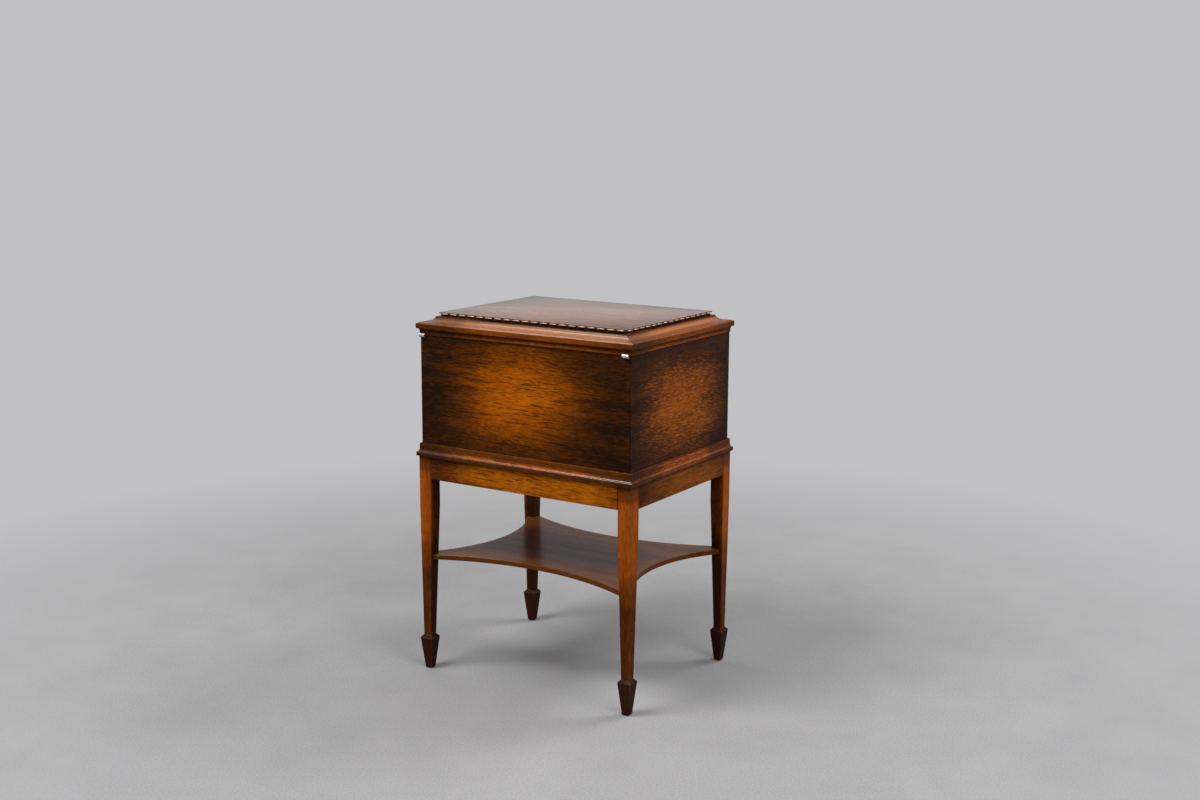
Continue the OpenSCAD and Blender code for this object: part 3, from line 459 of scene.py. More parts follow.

# Base moulding: four mitred lengths of oak round the foot of the box, worked with a hollow
# between two squares. The squares are coloured darker. On the short sides painted shadow lies
# under the side boards and along the moulding's foot, and all four carry a painted highlight
# where the lower square's top edge meets the hollow.

BASE_GLOSS = (0.4823, 0.0025)
BASE_COAT = {"X": 1.0, "Y": 0.15}
BASE_TONE_AND_PAINTED_LIGHT = {
    "X": (
        ("Z", 0.4965, 0.0085, (52, 28, 9), 0.65),
        ("Z", 0.4770, 0.0050, (38, 20, 6), 0.8),
        # Painted highlight where the lower square's top edge meets the hollow
        ("Z", 0.4834, 0.0012, (150, 116, 96), 0.1),
    ),
    "Y": (
        ("Y", 0.1850, 0.0850, (44, 25, 15), 0.8),
        # Painted shadow at the top of the upper square, under the side board
        ("Z", 0.5000, 0.0022, (34, 18, 8), 0.8),
        ("Z", 0.4880, 0.0050, (60, 32, 15), 0.25),
        ("Z", 0.4770, 0.0052, (44, 23, 10), 0.6),
        # Painted shadow line along the moulding's foot
        ("Z", 0.4734, 0.0009, (16, 8, 4), 0.9),
        # Painted highlight where the lower square's top edge meets the hollow
        ("Z", 0.4836, 0.0013, (150, 94, 62), 0.3),
    ),
}

base_tones = {
    "X": stained((156, 78, 18), (98, 52, 12), (68, 35, 9), (38, 20, 8)),
    "Y": stained((176, 88, 34), (120, 60, 22), (80, 42, 18), (40, 20, 9)),
}
for number, (side, grain) in enumerate(FOUR_SIDES):
    name = "base_moulding_" + side
    finish = oak(name + "_oak", *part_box(name), grain, base_tones[grain], start=0.4, end=0.98,
                 offset=(-0.02, -0.02, 0), seed=41.0 + number, coat=BASE_COAT[grain],
                 wear=srgb(120, 70, 40), worn=0.4, flecks=0.8, skip=ACROSS_GRAIN[grain],
                 gloss_band=BASE_GLOSS, bands=BASE_TONE_AND_PAINTED_LIGHT[grain])
    eased(name, finish, width=0.0006, shortest=0.02)

# Sides and back: broad oak boards, mitred at the back corners, with their grain level. The stain
# is dark round each board's edges and left golden in the middle, and a painted shadow line runs
# along the top under the lid. The stiles match the sides.

LEVEL_STOPS = (0.0, 0.3, 0.62, 1.0)
# A painted shadow line along the top of each board, under the lid's rim
PAINTED_TOP_SHADOW = ("Z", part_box("back_panel")[1].z - 0.0016, 0.0011, (12, 6, 3), 1.0)

panel_tones = stained((180, 94, 10), (138, 68, 4), (84, 42, 5), (30, 16, 7), at=LEVEL_STOPS)
side_tones = stained((162, 84, 22), (114, 58, 13), (70, 37, 12), (34, 18, 9), at=LEVEL_STOPS)


def corners(points):
    """The lowest and highest corners of the box round some points"""
    return [Vector([limit(point[k] for point in points) for k in range(3)]) for limit in (min, max)]


finish = oak("back_panel_oak", *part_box("back_panel"), "X", panel_tones, shade=0.8, start=0.1,
             end=1.02, seed=51.0, varied=0.3, pores=0.65, skip="Y", offset=(0.004, 0, 0.018),
             spread=(0.86, 1, 1.22), bands=[PAINTED_TOP_SHADOW])
eased("back_panel", finish, width=0.0008, shortest=0.03)
for hand, side_seed, stile_seed in (("left", 53.0, 61.0), ("right", 57.0, 63.0)):
    area = corners([*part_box("side_" + hand), *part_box("stile_" + hand)])
    for part, grain, figured in (
            ("side", "Y", {"seed": side_seed, "varied": 0.3, "flecks": 0.85}),
            ("stile", "Z", {"seed": stile_seed})):
        finish = oak(f"{part}_{hand}_oak", *area, grain, side_tones, shade=0.75, start=0.2, end=1.02,
                     skip="X", offset=(0, 0.001, 0), bands=[PAINTED_TOP_SHADOW], **figured)
        eased(f"{part}_{hand}", finish, width=0.0008, shortest=0.03)

# Front frame: the fixed board in front of the top compartment and the two rails, tenoned between
# the stiles. They carry the same golden shaded stain as the back.

for number, name in enumerate(("front_board", "middle_rail", "bottom_rail")):
    finish = oak(name + "_oak", *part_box(name), "X", panel_tones, shade=0.66, start=0.35,
                 seed=71.0 + number, wear=rubbed_oak, skip="Y")
    eased(name, finish, width=0.0008, shortest=0.03)

# Lid rim: four mitred lengths of oak. From the joint upwards each has a narrow strip, a hollow, a
# standing fascia and a broad cove, which catches the light under the top board. Pale bands on the
# cove are painted highlight, and painted shade lies in the hollow, along the foot over the box and
# at the top of the cove under the carved lobes.

RIM_GLOSS = (0.7608, 0.0050)
RIM_COAT = {"X": 0.6, "Y": 0.3}
RIM_TONE_AND_PAINTED_SHADE = (
    ("Z", 0.7505, 0.0045, (90, 40, 3), 0.6),
    # Painted shade in the hollow
    ("Z", 0.7425, 0.0030, (28, 14, 4), 0.7),
    ("Z", 0.7340, 0.0022, (136, 64, 5), 0.4),
    # Painted shadow line along the rim's foot, over the box
    ("Z", 0.7328, 0.0006, (20, 10, 4), 1.0),
    # Painted shadow at the top of the cove, under the carved lobes
    ("Z", 0.7700, 0.0014, (16, 8, 5), 1.0),
)
COVE_TONE_AND_PAINTED_LIGHT = {
    "X": (
        ("Z", 0.7640, 0.0070, (106, 72, 50), 0.75),
        # Painted highlight: a pale band across the cove and a pale line at its foot
        ("Z", 0.7612, 0.0026, (150, 102, 70), 0.6),
        ("Z", 0.7568, 0.0010, (140, 108, 90), 0.8),
        # Painted shade at the top of the cove, under the carved lobes
        ("Z", 0.7685, 0.0022, (66, 44, 32), 0.7),
    ),
    "Y": (
        ("Z", 0.7640, 0.0070, (104, 60, 32), 0.75),
        # Painted highlight: a pale band across the cove and a pale line at its foot
        ("Z", 0.7625, 0.0026, (150, 88, 48), 0.6),
        ("Z", 0.7568, 0.0010, (104, 68, 50), 0.5),
        ("Z", 0.7580, 0.0016, (84, 46, 26), 0.5),
    ),
}

lid_tones = stained((160, 84, 20), (112, 56, 10), (74, 37, 8), (34, 17, 7))
for number, (side, grain) in enumerate(FOUR_SIDES):
    name = "lid_moulding_" + side
    finish = oak(name + "_oak", *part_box(name), grain, lid_tones, end=1.0,
                 offset=(-0.05, -0.03, 0), seed=81.0 + number, coat=RIM_COAT[grain],
                 wear=srgb(150, 108, 86), worn=0.5, skip=ACROSS_GRAIN[grain],
                 gloss_band=RIM_GLOSS, bands=COVE_TONE_AND_PAINTED_LIGHT[grain] + RIM_TONE_AND_PAINTED_SHADE)
    eased(name, finish, width=0.0005, shortest=0.02)

# Top board: an oak board bedded on the cove. Its edge is carved with a row of lobes under a
# rounded fillet, twenty to a long side and fifteen to a short one, over a sunk shadow line. The
# edge's upright and rounded faces take a darker copy of the oak as painted shade, the sunk line is
# painted near black as painted shadow, and the lobes take a paler copy as painted highlight.

LOBE_PITCH = 0.0232
LOBE_HALF_LENGTH = 0.0114
LOBE_HALF_HEIGHT = 0.0024
LOBE_HALF_DEPTH = 0.0044
LOBE_DOWN = 0.0032
CORE_IN = 0.0045
CORE_DOWN = 0.002
CORE_ROUNDING = 0.0003
PLATE_HEIGHT = 0.0022
PLATE_IN = 0.0012
PLATE_ROUNDING = 0.0010
LEVEL_NORMAL = 0.95
# Painted shadow: the sunk line under the lobes is coloured near black
PAINTED_SUNK_SHADOW = ("Z", 0.7708, 0.0015, (6, 3, 2), 1.0)

low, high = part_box("lid_board")
top_tones = stained((124, 80, 56), (100, 66, 47), (76, 50, 37), (44, 30, 23), at=(0.0, 0.4, 0.75, 1.0))
# A darker copy of the oak for the edge's upright and rounded faces, painted shade
edge_shade_tones = stained((92, 62, 46), (52, 33, 23), at=(0.0, 1.0))
finish = oak("top_board_oak", low, high, "X", top_tones, shade=0.5, end=1.15, seed=91.0,
             rough=0.32, coat=0.95, skip="Z")
edge_shade_finish = oak("top_board_edge_shade_oak", low, high, "X", edge_shade_tones, shade=0.0,
                  rough=0.4, seed=92.0, bands=[PAINTED_SUNK_SHADOW])


def slab(shell, low, high, rounding, segments):
    """A closed board between two corners, with all its arrises rounded over"""
    made = bmesh.ops.create_cube(shell, size=1.0)
    for vert in made["verts"]:
        vert.co = Vector([low[k] if vert.co[k] < 0 else high[k] for k in range(3)])
    edges = list({edge for vert in made["verts"] for edge in vert.link_edges})
    bmesh.ops.bevel(shell, geom=edges, offset=rounding, segments=segments, affect="EDGES", profile=0.5)


def closed(shell, name):
    """The mesh of a finished shell"""
    mesh = bpy.data.meshes.new(name)
    shell.to_mesh(mesh)
    shell.free()
    return mesh


def smoothed(mesh, crisp=None):
    """Smooth faces, with the edges that turn by more than a given angle left crisp"""
    for polygon in mesh.polygons:
        polygon.use_smooth = True
    if crisp:
        mesh.set_sharp_from_angle(angle=crisp)


shell = bmesh.new()
slab(shell, low + Vector((CORE_IN, CORE_IN, 0)),
     Vector((high.x - CORE_IN, high.y - CORE_IN, high.z - CORE_DOWN)), CORE_ROUNDING, segments=1)
slab(shell, Vector((low.x + PLATE_IN, low.y + PLATE_IN, high.z - PLATE_HEIGHT)),
     Vector((high.x - PLATE_IN, high.y - PLATE_IN, high.z)), PLATE_ROUNDING, segments=3)
mesh = closed(shell, "top_board")
board = new_piece("top_board", mesh, finish)
mesh.materials.append(edge_shade_finish)
# Faces that are not level take the darker copy, painted shade
for polygon in mesh.polygons:
    polygon.material_index = int(polygon.normal.z < LEVEL_NORMAL)
smoothed(mesh, crisp=SHARP_ANGLE)


def modelled(name, **inputs):
    """A geometry node tree with the names of its inputs given by their kinds"""
    tree = bpy.data.node_groups.new(name, "GeometryNodeTree")
    tree.interface.new_socket("Geometry", in_out="INPUT", socket_type="NodeSocketGeometry")
    tree.interface.new_socket("Geometry", in_out="OUTPUT", socket_type="NodeSocketGeometry")
    for kind, sockets in inputs.items():
        for socket in sockets:
            tree.interface.new_socket(socket, in_out="INPUT", socket_type="NodeSocket" + kind)
    return tree, add(tree, "NodeGroupInput").outputs


def finish_tree(tree, geometry, material):
    """Ends a tree: its instances become real, and take their material"""
    real = add(tree, "GeometryNodeRealizeInstances", {0: geometry})
    painted = add(tree, "GeometryNodeSetMaterial", {"Geometry": real.outputs[0], "Material": material})
    add(tree, "NodeGroupOutput", {0: painted.outputs[0]})


def rounded(tree, geometry):
    """Geometry with its instances made real and shaded smooth"""
    real = add(tree, "GeometryNodeRealizeInstances", {0: geometry}).outputs[0]
    return add(tree, "GeometryNodeSetShadeSmooth", {"Geometry": real}).outputs[0]


def grown(name, tree, points, values):
    """A plain mesh from a tree that is run on some points with these values"""
    mesh = bpy.data.meshes.new(name)
    mesh.from_pydata([tuple(point) for point in points], [], [])
    piece = new_piece(name, mesh)
    modifier = piece.modifiers.new(name, "NODES")
    modifier.node_group = tree
    for socket in tree.interface.items_tree:
        if socket.in_out == "INPUT" and socket.name in values:
            modifier[socket.identifier] = values[socket.name]
    settled(piece)
    return piece


def carved_edge_tree():
    """Lobes set end to end along the four sides of a board, which meet at its corners"""
    tree, given = modelled(
        "Carved edge", Float=["Half width", "Half depth", "Height"], Int=["Long count", "Short count"],
        Vector=["Lobe size"], Material=["Material"],
    )
    lobe = add(tree, "GeometryNodeMeshUVSphere", {"Segments": 16, "Rings": 10, "Radius": 1.0}).outputs[0]
    sides = add(tree, "GeometryNodeJoinGeometry")
    for across, turn in ((False, 0.0), (True, math.pi / 2)):
        along, count = ("Half depth", "Short count") if across else ("Half width", "Long count")
        out = "Half width" if across else "Half depth"
        pitch = maths(tree, "DIVIDE", maths(tree, "MULTIPLY", given[along], 2.0), given[count])
        end = maths(tree, "SUBTRACT", given[along], maths(tree, "MULTIPLY", pitch, 0.5))
        for sign in (1, -1):
            edge = maths(tree, "MULTIPLY", given[out], sign)
            ends = []
            for place in (maths(tree, "MULTIPLY", end, -1.0), end):
                corner = {"X": edge, "Y": place} if across else {"X": place, "Y": edge}
                ends.append(vector(tree, **corner, Z=given["Height"]))
            line = add(tree, "GeometryNodeMeshLine", {
                "Count": given[count], "Start Location": ends[0], "Offset": ends[1],
            }, mode="END_POINTS").outputs[0]
            row = add(tree, "GeometryNodeInstanceOnPoints", {
                "Points": line, "Instance": lobe, "Rotation": (0, 0, turn), "Scale": given["Lobe size"],
            }).outputs[0]
            tree.links.new(row, sides.inputs[0])
    finish_tree(tree, rounded(tree, sides.outputs[0]), given["Material"])
    return tree


middle = (low + high) / 2
half = (high - low) / 2
# The lobes take a paler copy of the oak than the board, painted highlight
lobe_highlight_tones = stained((178, 134, 108), (140, 100, 78), (86, 57, 42), at=(0.0, 0.5, 1.0))
lobe_highlight_finish = oak("carved_edge_highlight_oak", low, high, "X", lobe_highlight_tones, shade=0.0, seed=93.0, rough=0.3,
                  coat=1.0, pores=0.2, flecks=0.2)
carving = grown("carved_edge", carved_edge_tree(), [(0, 0, 0)], {
    "Half width": half.x - LOBE_HALF_DEPTH, "Half depth": half.y - LOBE_HALF_DEPTH,
    "Height": high.z - LOBE_DOWN,
    "Long count": round(2 * half.x / LOBE_PITCH), "Short count": round(2 * half.y / LOBE_PITCH),
    "Lobe size": (LOBE_HALF_LENGTH, LOBE_HALF_DEPTH, LOBE_HALF_HEIGHT), "Material": lobe_highlight_finish,
})
carving.data.transform(Matrix.Translation((middle.x, middle.y, 0)))
for piece in (board, carving):
    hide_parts("lid_board")
    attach(piece, "lid")

# Lid lining: a pad of wadding under ivory satin, buttoned down in rows and puffed between the
# buttons. It is glued inside the lid and keeps the cutlery in its racks.

PAD_IN = 0.002
PAD_ROUNDING = 0.0015
PAD_VOXEL = 0.005
SEAM_IN = 0.003
GLUE_DEPTH = 0.0025
PUFF_PRESSURE = 7.0
PUFF_QUALITY = 6
PUFF_STEPS = 20
PUFF_LIMIT = 0.006
DIMPLE_DEPTH = 0.0032
DIMPLE_RADIUS = 0.009
BUTTON_COLUMNS = 9
BUTTON_ROWS = 7
BUTTON_REACH = 0.006
BUTTON_UP = Vector((0, 0, 0.0016))
BUTTON_RADIUS = 0.0045
BUTTON_FLATNESS = 0.45


def satin():
    """Ivory satin: a fine warp sheen with a soft mottle"""
    material, tree, shader, place = blank("ivory_satin")
    thread = noise(tree, place, (900, 5000, 900), detail=1)
    soft = noise(tree, place, (30, 30, 30), detail=3)
    tone = blended(tree, thread, 0.4, soft, 0.6)
    colour = ramp(tree, tone, stained((196, 180, 146), (224, 212, 184), at=(0.3, 0.7)))
    dress(tree, shader, colour, ranged(tree, thread, 0.3, 0.7, 0.34, 0.5),
          {"Strength": 0.2, "Distance": 0.0002, "Height": thread},
          {"Sheen Weight": 0.35, "Sheen Roughness": 0.4})
    return material


low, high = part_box("lid_pad")
half = (high - low) / 2
middle = (low + high) / 2
cloth_finish = satin()
shell = bmesh.new()
slab(shell, low + Vector((PAD_IN, PAD_IN, PAD_IN)), high - Vector((PAD_IN, PAD_IN, 0)),
     PAD_ROUNDING, segments=2)
pad = new_piece("lid_lining", closed(shell, "lid_lining"), cloth_finish)
remesh = pad.modifiers.new("wadding", "REMESH")
remesh.mode = "VOXEL"
remesh.voxel_size = PAD_VOXEL
settled(pad)

# Every second row of buttons is set half a place over, and is one button shorter
buttons = [
    Vector((low.x + 2 * half.x * (column + 0.5 + 0.5 * (row % 2)) / BUTTON_COLUMNS,
            low.y + 2 * half.y * (row + 0.5) / BUTTON_ROWS, low.z + PAD_IN))
    for row in range(BUTTON_ROWS) for column in range(BUTTON_COLUMNS - row % 2)
]
rest_places = [vert.co.copy() for vert in pad.data.vertices]
held = pad.vertex_groups.new(name="held")
for vert in pad.data.vertices:
    near = min((vert.co - button).length for button in buttons)
    edge = min(half.x - PAD_IN - abs(vert.co.x - middle.x), half.y - PAD_IN - abs(vert.co.y - middle.y))
    if near < BUTTON_REACH or edge < SEAM_IN or vert.co.z > high.z - GLUE_DEPTH:
        held.add([vert.index], 1.0, "REPLACE")
cloth = pad.modifiers.new("satin", "CLOTH")
cloth.settings.use_pressure = True
cloth.settings.uniform_pressure_force = PUFF_PRESSURE
cloth.settings.vertex_group_mass = "held"
cloth.settings.effector_weights.gravity = 0.0
cloth.settings.quality = PUFF_QUALITY
cloth.point_cache.frame_start = 1
cloth.point_cache.frame_end = PUFF_STEPS
for number in range(1, PUFF_STEPS + 1):
    scene.frame_set(number)
settled(pad)
scene.frame_set(1)
for vert, rest in zip(pad.data.vertices, rest_places):
    moved = vert.co - rest
    if moved.length > PUFF_LIMIT:
        vert.co = rest + moved * (PUFF_LIMIT / moved.length)
    near = min((rest - button).length for button in buttons)
    if rest.z < middle.z:
        vert.co.z += DIMPLE_DEPTH * math.exp(-(near / DIMPLE_RADIUS) ** 2)
    vert.co.z = min(vert.co.z, high.z)
smoothed(pad.data)
round_out = pad.modifiers.new("round_out", "SUBSURF")
round_out.levels = 1
round_out.render_levels = 1
settled(pad)
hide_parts("lid_pad")
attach(pad, "lid")


def button_tree():
    """A flattened button on each point"""
    tree, given = modelled("Covered buttons", Float=["Radius", "Flatness"], Material=["Material"])
    button = add(tree, "GeometryNodeMeshUVSphere", {
        "Segments": 16, "Rings": 8, "Radius": given["Radius"],
    }).outputs[0]
    placed = add(tree, "GeometryNodeInstanceOnPoints", {
        "Points": given["Geometry"], "Instance": button,
        "Scale": vector(tree, X=1.0, Y=1.0, Z=given["Flatness"]),
    })
    finish_tree(tree, rounded(tree, placed.outputs[0]), given["Material"])
    return tree


studs = grown("lining_buttons", button_tree(), [button + BUTTON_UP for button in buttons],
              {"Radius": BUTTON_RADIUS, "Flatness": BUTTON_FLATNESS, "Material": cloth_finish})
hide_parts("lid_pad")
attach(studs, "lid")

# Racks: beds and notched bars of softwood covered with blue baize, loose in the top compartment
# and in both drawers. Spoons and forks lie in the wide notches, knives in the narrow ones.


def baize():
    """Woollen baize: a napped surface with faint lighter fibres"""
    material, tree, shader, place = blank("blue_baize")
    fibres = noise(tree, place, (1400, 1400, 1400), detail=3, roughness=0.7)
    worn = noise(tree, place, (22, 22, 22), detail=3)
    tone = blended(tree, fibres, 0.6, worn, 0.4)
    colour = ramp(tree, tone, stained((38, 62, 84), (70, 100, 124), at=(0.32, 0.68)))
    dress(tree, shader, colour, ranged(tree, fibres, 0.3, 0.7, 0.85, 1.0),
          {"Strength": 0.5, "Distance": 0.0005, "Height": fibres},
          {"Sheen Weight": 0.5, "Sheen Roughness": 0.5})
    return material


baize_finish = baize()
for name in ("cutlery_rack", "upper_drawer_rack", "lower_drawer_rack"):
    eased(name, baize_finish, width=0.0011, shortest=0.005, segments=3)

# Drawers: oak fronts with the shaded stain, golden in the middle and dark at the ends, and sides,
# backs and bottoms of plain oak. Each bottom is held in grooves in the front and the sides.

for number, drawer in enumerate(("upper", "lower")):
    name = drawer + "_drawer_front"
    finish = oak(name + "_oak", *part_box(name), "X", panel_tones, shade=0.68, start=0.35, end=1.08,
                 seed=101.0 + number, wear=rubbed_oak, skip="Y")
    eased(name, finish, width=0.001, shortest=0.03)
    for part, grain in (("sides", "Y"), ("back", "X"), ("bottom", "X")):
        name = f"{drawer}_drawer_{part}"
        eased(name, plain_oak(name, grain, 105.0 + 3 * number), width=0.0006, shortest=0.003)

# Lock, catch and escutcheon: lacquered brass, sawn and filed. The case and the catch are let in
# flush, and the escutcheon lies on the front board. The bolt and its two pins are bright steel.


def metal(name, bright, dull, rough, streaks):
    """Polished metal with a little tarnish and fine rubbing marks"""
    material, tree, shader, place = blank(name)
    tarnish = noise(tree, place, (160, 160, 160), detail=4, roughness=0.6)
    marks = noise(tree, place, streaks)
    roughness = maths(tree, "ADD", ranged(tree, tarnish, 0.35, 0.7, rough, rough + 0.18),
                      maths(tree, "MULTIPLY", marks, 0.08))
    dress(tree, shader, ramp(tree, tarnish, stained(bright, dull, at=(0.42, 0.68))), roughness,
          {"Strength": 0.08, "Distance": 0.0002, "Height": marks}, {"Metallic": 1.0})
    return material


brass = metal("brass", (206, 172, 104), (132, 96, 48), rough=0.24, streaks=(300, 2200, 2200))
steel = metal("silvered", (206, 205, 200), (128, 124, 116), rough=0.22, streaks=(2200, 400, 2200))
for name, width in (("lock_case", 0.0003), ("lock_catch", 0.0003), ("escutcheon", 0.0005)):
    eased(name, brass, width=width, shortest=0.0005)
eased("lock_bolt", steel, width=0.0003, shortest=0.0015)

# Hinges: two stopped hinges of three knuckles, silvered, let in flush at the box's back corners.
# Their slotted screws are turned by hand, so no two slots lie the same way.

SLOT_OVERRUN = 2.4
SHANK_UNDERSIZE = 0.95
SCREW_POINT = 0.3
SLOT_WIDTH = 0.0008
SLOT_DEPTH = 0.0006

for name in ("hinge_lower_leaves", "hinge_upper_leaves"):
    eased(name, steel, width=0.0003, shortest=0.0035)
eased("hinge_pins", steel, width=0.0003, shortest=0.0002)


def screw_tree():
    """A countersunk screw with a sawn slot on each point, with its shank along +Z"""
    tree, given = modelled(
        "Slotted screws", Int=["Seed"], Material=["Material"],
        Float=["Head radius", "Head height", "Shank radius", "Length", "Slot width", "Slot depth", "Tip"],
    )
    head = add(tree, "GeometryNodeMeshCone", {
        "Vertices": 24, "Radius Top": given["Shank radius"], "Radius Bottom": given["Head radius"],
        "Depth": given["Head height"],
    }).outputs[0]
    across = maths(tree, "MULTIPLY", given["Head radius"], SLOT_OVERRUN)
    deep = maths(tree, "MULTIPLY", given["Slot depth"], 2.0)
    slot_size = vector(tree, X=across, Y=given["Slot width"], Z=deep)
    cutter = add(tree, "GeometryNodeMeshCube", {"Size": slot_size}).outputs[0]
    sawn = add(tree, "GeometryNodeMeshBoolean", {
        "Mesh 1": head, "Mesh 2": cutter,
    }, operation="DIFFERENCE").outputs[0]
    shank = add(tree, "GeometryNodeMeshCone", {
        "Vertices": 16, "Radius Top": maths(tree, "MULTIPLY", given["Shank radius"], SCREW_POINT),
        "Radius Bottom": maths(tree, "MULTIPLY", given["Shank radius"], SHANK_UNDERSIZE),
        "Depth": maths(tree, "SUBTRACT", given["Length"], given["Head height"]),
    }).outputs[0]
    lift = vector(tree, Z=given["Head height"])
    shank = add(tree, "GeometryNodeTransform", {"Geometry": shank, "Translation": lift}).outputs[0]
    screw = add(tree, "GeometryNodeJoinGeometry")
    tree.links.new(sawn, screw.inputs[0])
    tree.links.new(shank, screw.inputs[0])
    spin = add(tree, "FunctionNodeRandomValue", {
        2: 0.0, 3: math.pi, "Seed": given["Seed"],
    }, data_type="FLOAT")
    placed = add(tree, "GeometryNodeInstanceOnPoints", {
        "Points": given["Geometry"], "Instance": screw.outputs[0],
        "Rotation": vector(tree, X=given["Tip"], Z=spin.outputs[1]),
    })
    finish_tree(tree, placed.outputs[0], given["Material"])
    return tree


def screw_points(node, face):
    """The middle of each screw's head in a CAD node of several screws, at its head's face"""
    shell = bmesh.new()
    shell.from_mesh(nodes[node].data)
    bmesh.ops.remove_doubles(shell, verts=shell.verts, dist=MERGE_GAP)
    left = set(shell.verts)
    points = []
    while left:
        found = {left.pop()}
        waiting = list(found)
        while waiting:
            vert = waiting.pop()
            for link in vert.link_edges:
                other = link.other_vert(vert)
                if other in left:
                    left.discard(other)
                    found.add(other)
                    waiting.append(other)
        low, high = corners([vert.co for vert in found])
        centre = (low + high) / 2
        points.append(Vector((centre.x, centre.y, low.z if face == "under" else high.z)))
    shell.free()
    return sorted(points, key=lambda point: (round(point.x, 4), round(point.y, 4)))


screws = screw_tree()
for number, (name, face, head, height, shank, length) in enumerate((
        ("hinge_lower_screws", "over", 0.003, 0.0015, 0.0015, 0.0155),
        ("hinge_upper_screws", "under", 0.003, 0.0015, 0.0015, 0.0155),
        ("stand_screws", "under", 0.004, 0.0025, 0.002, 0.039))):
    piece = grown(name + "_slotted", screws, screw_points(name, face), {
        "Head radius": head, "Head height": height, "Shank radius": shank, "Length": length,
        "Slot width": SLOT_WIDTH, "Slot depth": SLOT_DEPTH, "Seed": 3 + number, "Material": steel,
        "Tip": 0.0 if face == "under" else math.pi,
    })
    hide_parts(name)
    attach(piece, nodes[name]["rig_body"])

# Handle posts: turned brass posts with a ball, a thin neck and a round rose, put through the
# drawer front and held by a nut inside. Two posts carry each drop handle.

# Each pair is a distance along the post from its inner end and the radius there, in millimetres
POST_OUTLINE = (
    (0.0, 4.2), (0.4, 4.5), (2.6, 4.5), (3.0, 4.2), (3.1, 2.5), (18.9, 2.5), (19.0, 7.4), (19.7, 7.5),
    (20.1, 7.2), (20.5, 6.0), (20.9, 5.4), (21.0, 3.6), (22.0, 2.7), (23.6, 2.5), (24.0, 3.0),
    (24.4, 3.0), (24.8, 2.7), (25.6, 3.7), (26.6, 4.5), (28.0, 4.95), (29.0, 5.0), (30.0, 4.9),
    (31.4, 4.4), (32.6, 3.5), (33.5, 2.2), (34.0, 0.5),
)
POST_LENGTH = 0.034
POST_RADIUS = 0.0075
POST_NUT_END = 0.019
POST_HALF_SPACING = 0.028
POST_SHARP = math.radians(40)


def post_tree():
    """A turned post on each point, standing out along -Y"""
    tree, given = modelled(
        "Turned posts", Float=["Length", "Inner end", "Radius"], Int=["Steps", "Facets"],
        Material=["Material"],
    )
    outer = maths(tree, "SUBTRACT", given["Inner end"], given["Length"])
    line = add(tree, "GeometryNodeCurvePrimitiveLine", {
        "Start": vector(tree, Y=given["Inner end"]), "End": vector(tree, Y=outer),
    }).outputs[0]
    line = add(tree, "GeometryNodeResampleCurve", {"Curve": line, "Count": given["Steps"]}).outputs[0]
    along = add(tree, "GeometryNodeSplineParameter").outputs["Factor"]
    outline = add(tree, "ShaderNodeFloatCurve", {"Value": along})
    points = outline.mapping.curves[0].points
    longest = POST_OUTLINE[-1][0]
    greatest = max(radius for place, radius in POST_OUTLINE)
    places = [(place / longest, radius / greatest) for place, radius in POST_OUTLINE]
    points[0].location = places[0]
    points[1].location = places[-1]
    for place in places[1:-1]:
        points.new(*place)
    for point in points:
        point.handle_type = "VECTOR"
    outline.mapping.update()
    circle = add(tree, "GeometryNodeCurvePrimitiveCircle", {
        "Resolution": given["Facets"], "Radius": 1.0,
    }).outputs[0]
    body = add(tree, "GeometryNodeCurveToMesh", {
        "Curve": line, "Profile Curve": circle, "Fill Caps": True,
        "Scale": maths(tree, "MULTIPLY", outline.outputs[0], given["Radius"]),
    }).outputs[0]
    placed = add(tree, "GeometryNodeInstanceOnPoints", {"Points": given["Geometry"], "Instance": body})
    finish_tree(tree, placed.outputs[0], given["Material"])
    return tree


def pivot(bail):
    """The place of the joint that a bail swings on"""
    return Vector(next(j["pos_m"] for j in frame["joints"] if j["name"] == bail + "_swing"))


posts = post_tree()
for drawer in ("upper", "lower"):
    name = drawer + "_handle_posts"
    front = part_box(drawer + "_drawer_front")[0].y
    centres = []
    for hand in ("left", "right"):
        origin = pivot(f"{drawer}_bail_{hand}")
        centres += [Vector((origin.x + side * POST_HALF_SPACING, front, origin.z)) for side in (-1, 1)]
    piece = grown(name + "_turned", posts, centres, {
        "Length": POST_LENGTH, "Inner end": POST_NUT_END, "Radius": POST_RADIUS,
        "Steps": 120, "Facets": 32, "Material": brass,
    })
    smoothed(piece.data, crisp=POST_SHARP)
    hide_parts(name)
    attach(piece, drawer + "_drawer")

# Bails: drop handles of cast and polished brass. Each hangs from two pins in the posts' balls,
# with an eye at the top of each arm, and swells to a bead at the middle of its grip.

ARM = 0.0357
DROP = 0.020
BEND = 0.008
BEND_STEPS = 8
WIRE = 0.0019
BAIL_SHARP = math.radians(45)

# Each pair is a distance along X from the grip's middle, the eye's middle or the arm, and a radius
GRIP_OUTLINE = (
    (-0.018, 0.0020), (-0.010, 0.0024), (-0.0062, 0.0026), (-0.0056, 0.0032), (-0.0048, 0.0032),
    (-0.0042, 0.0024), (-0.0034, 0.0024), (-0.0028, 0.0030), (-0.0016, 0.0034), (0.0, 0.0035),
)
EYE_OUTLINE = (
    (-0.0022, 0.0024), (-0.0018, 0.0031), (-0.0008, 0.00325), (0.0008, 0.00325),
    (0.0018, 0.0031), (0.0022, 0.0024),
)
PIN_OUTLINE = ((0.002, 0.0014), (0.013, 0.0014))


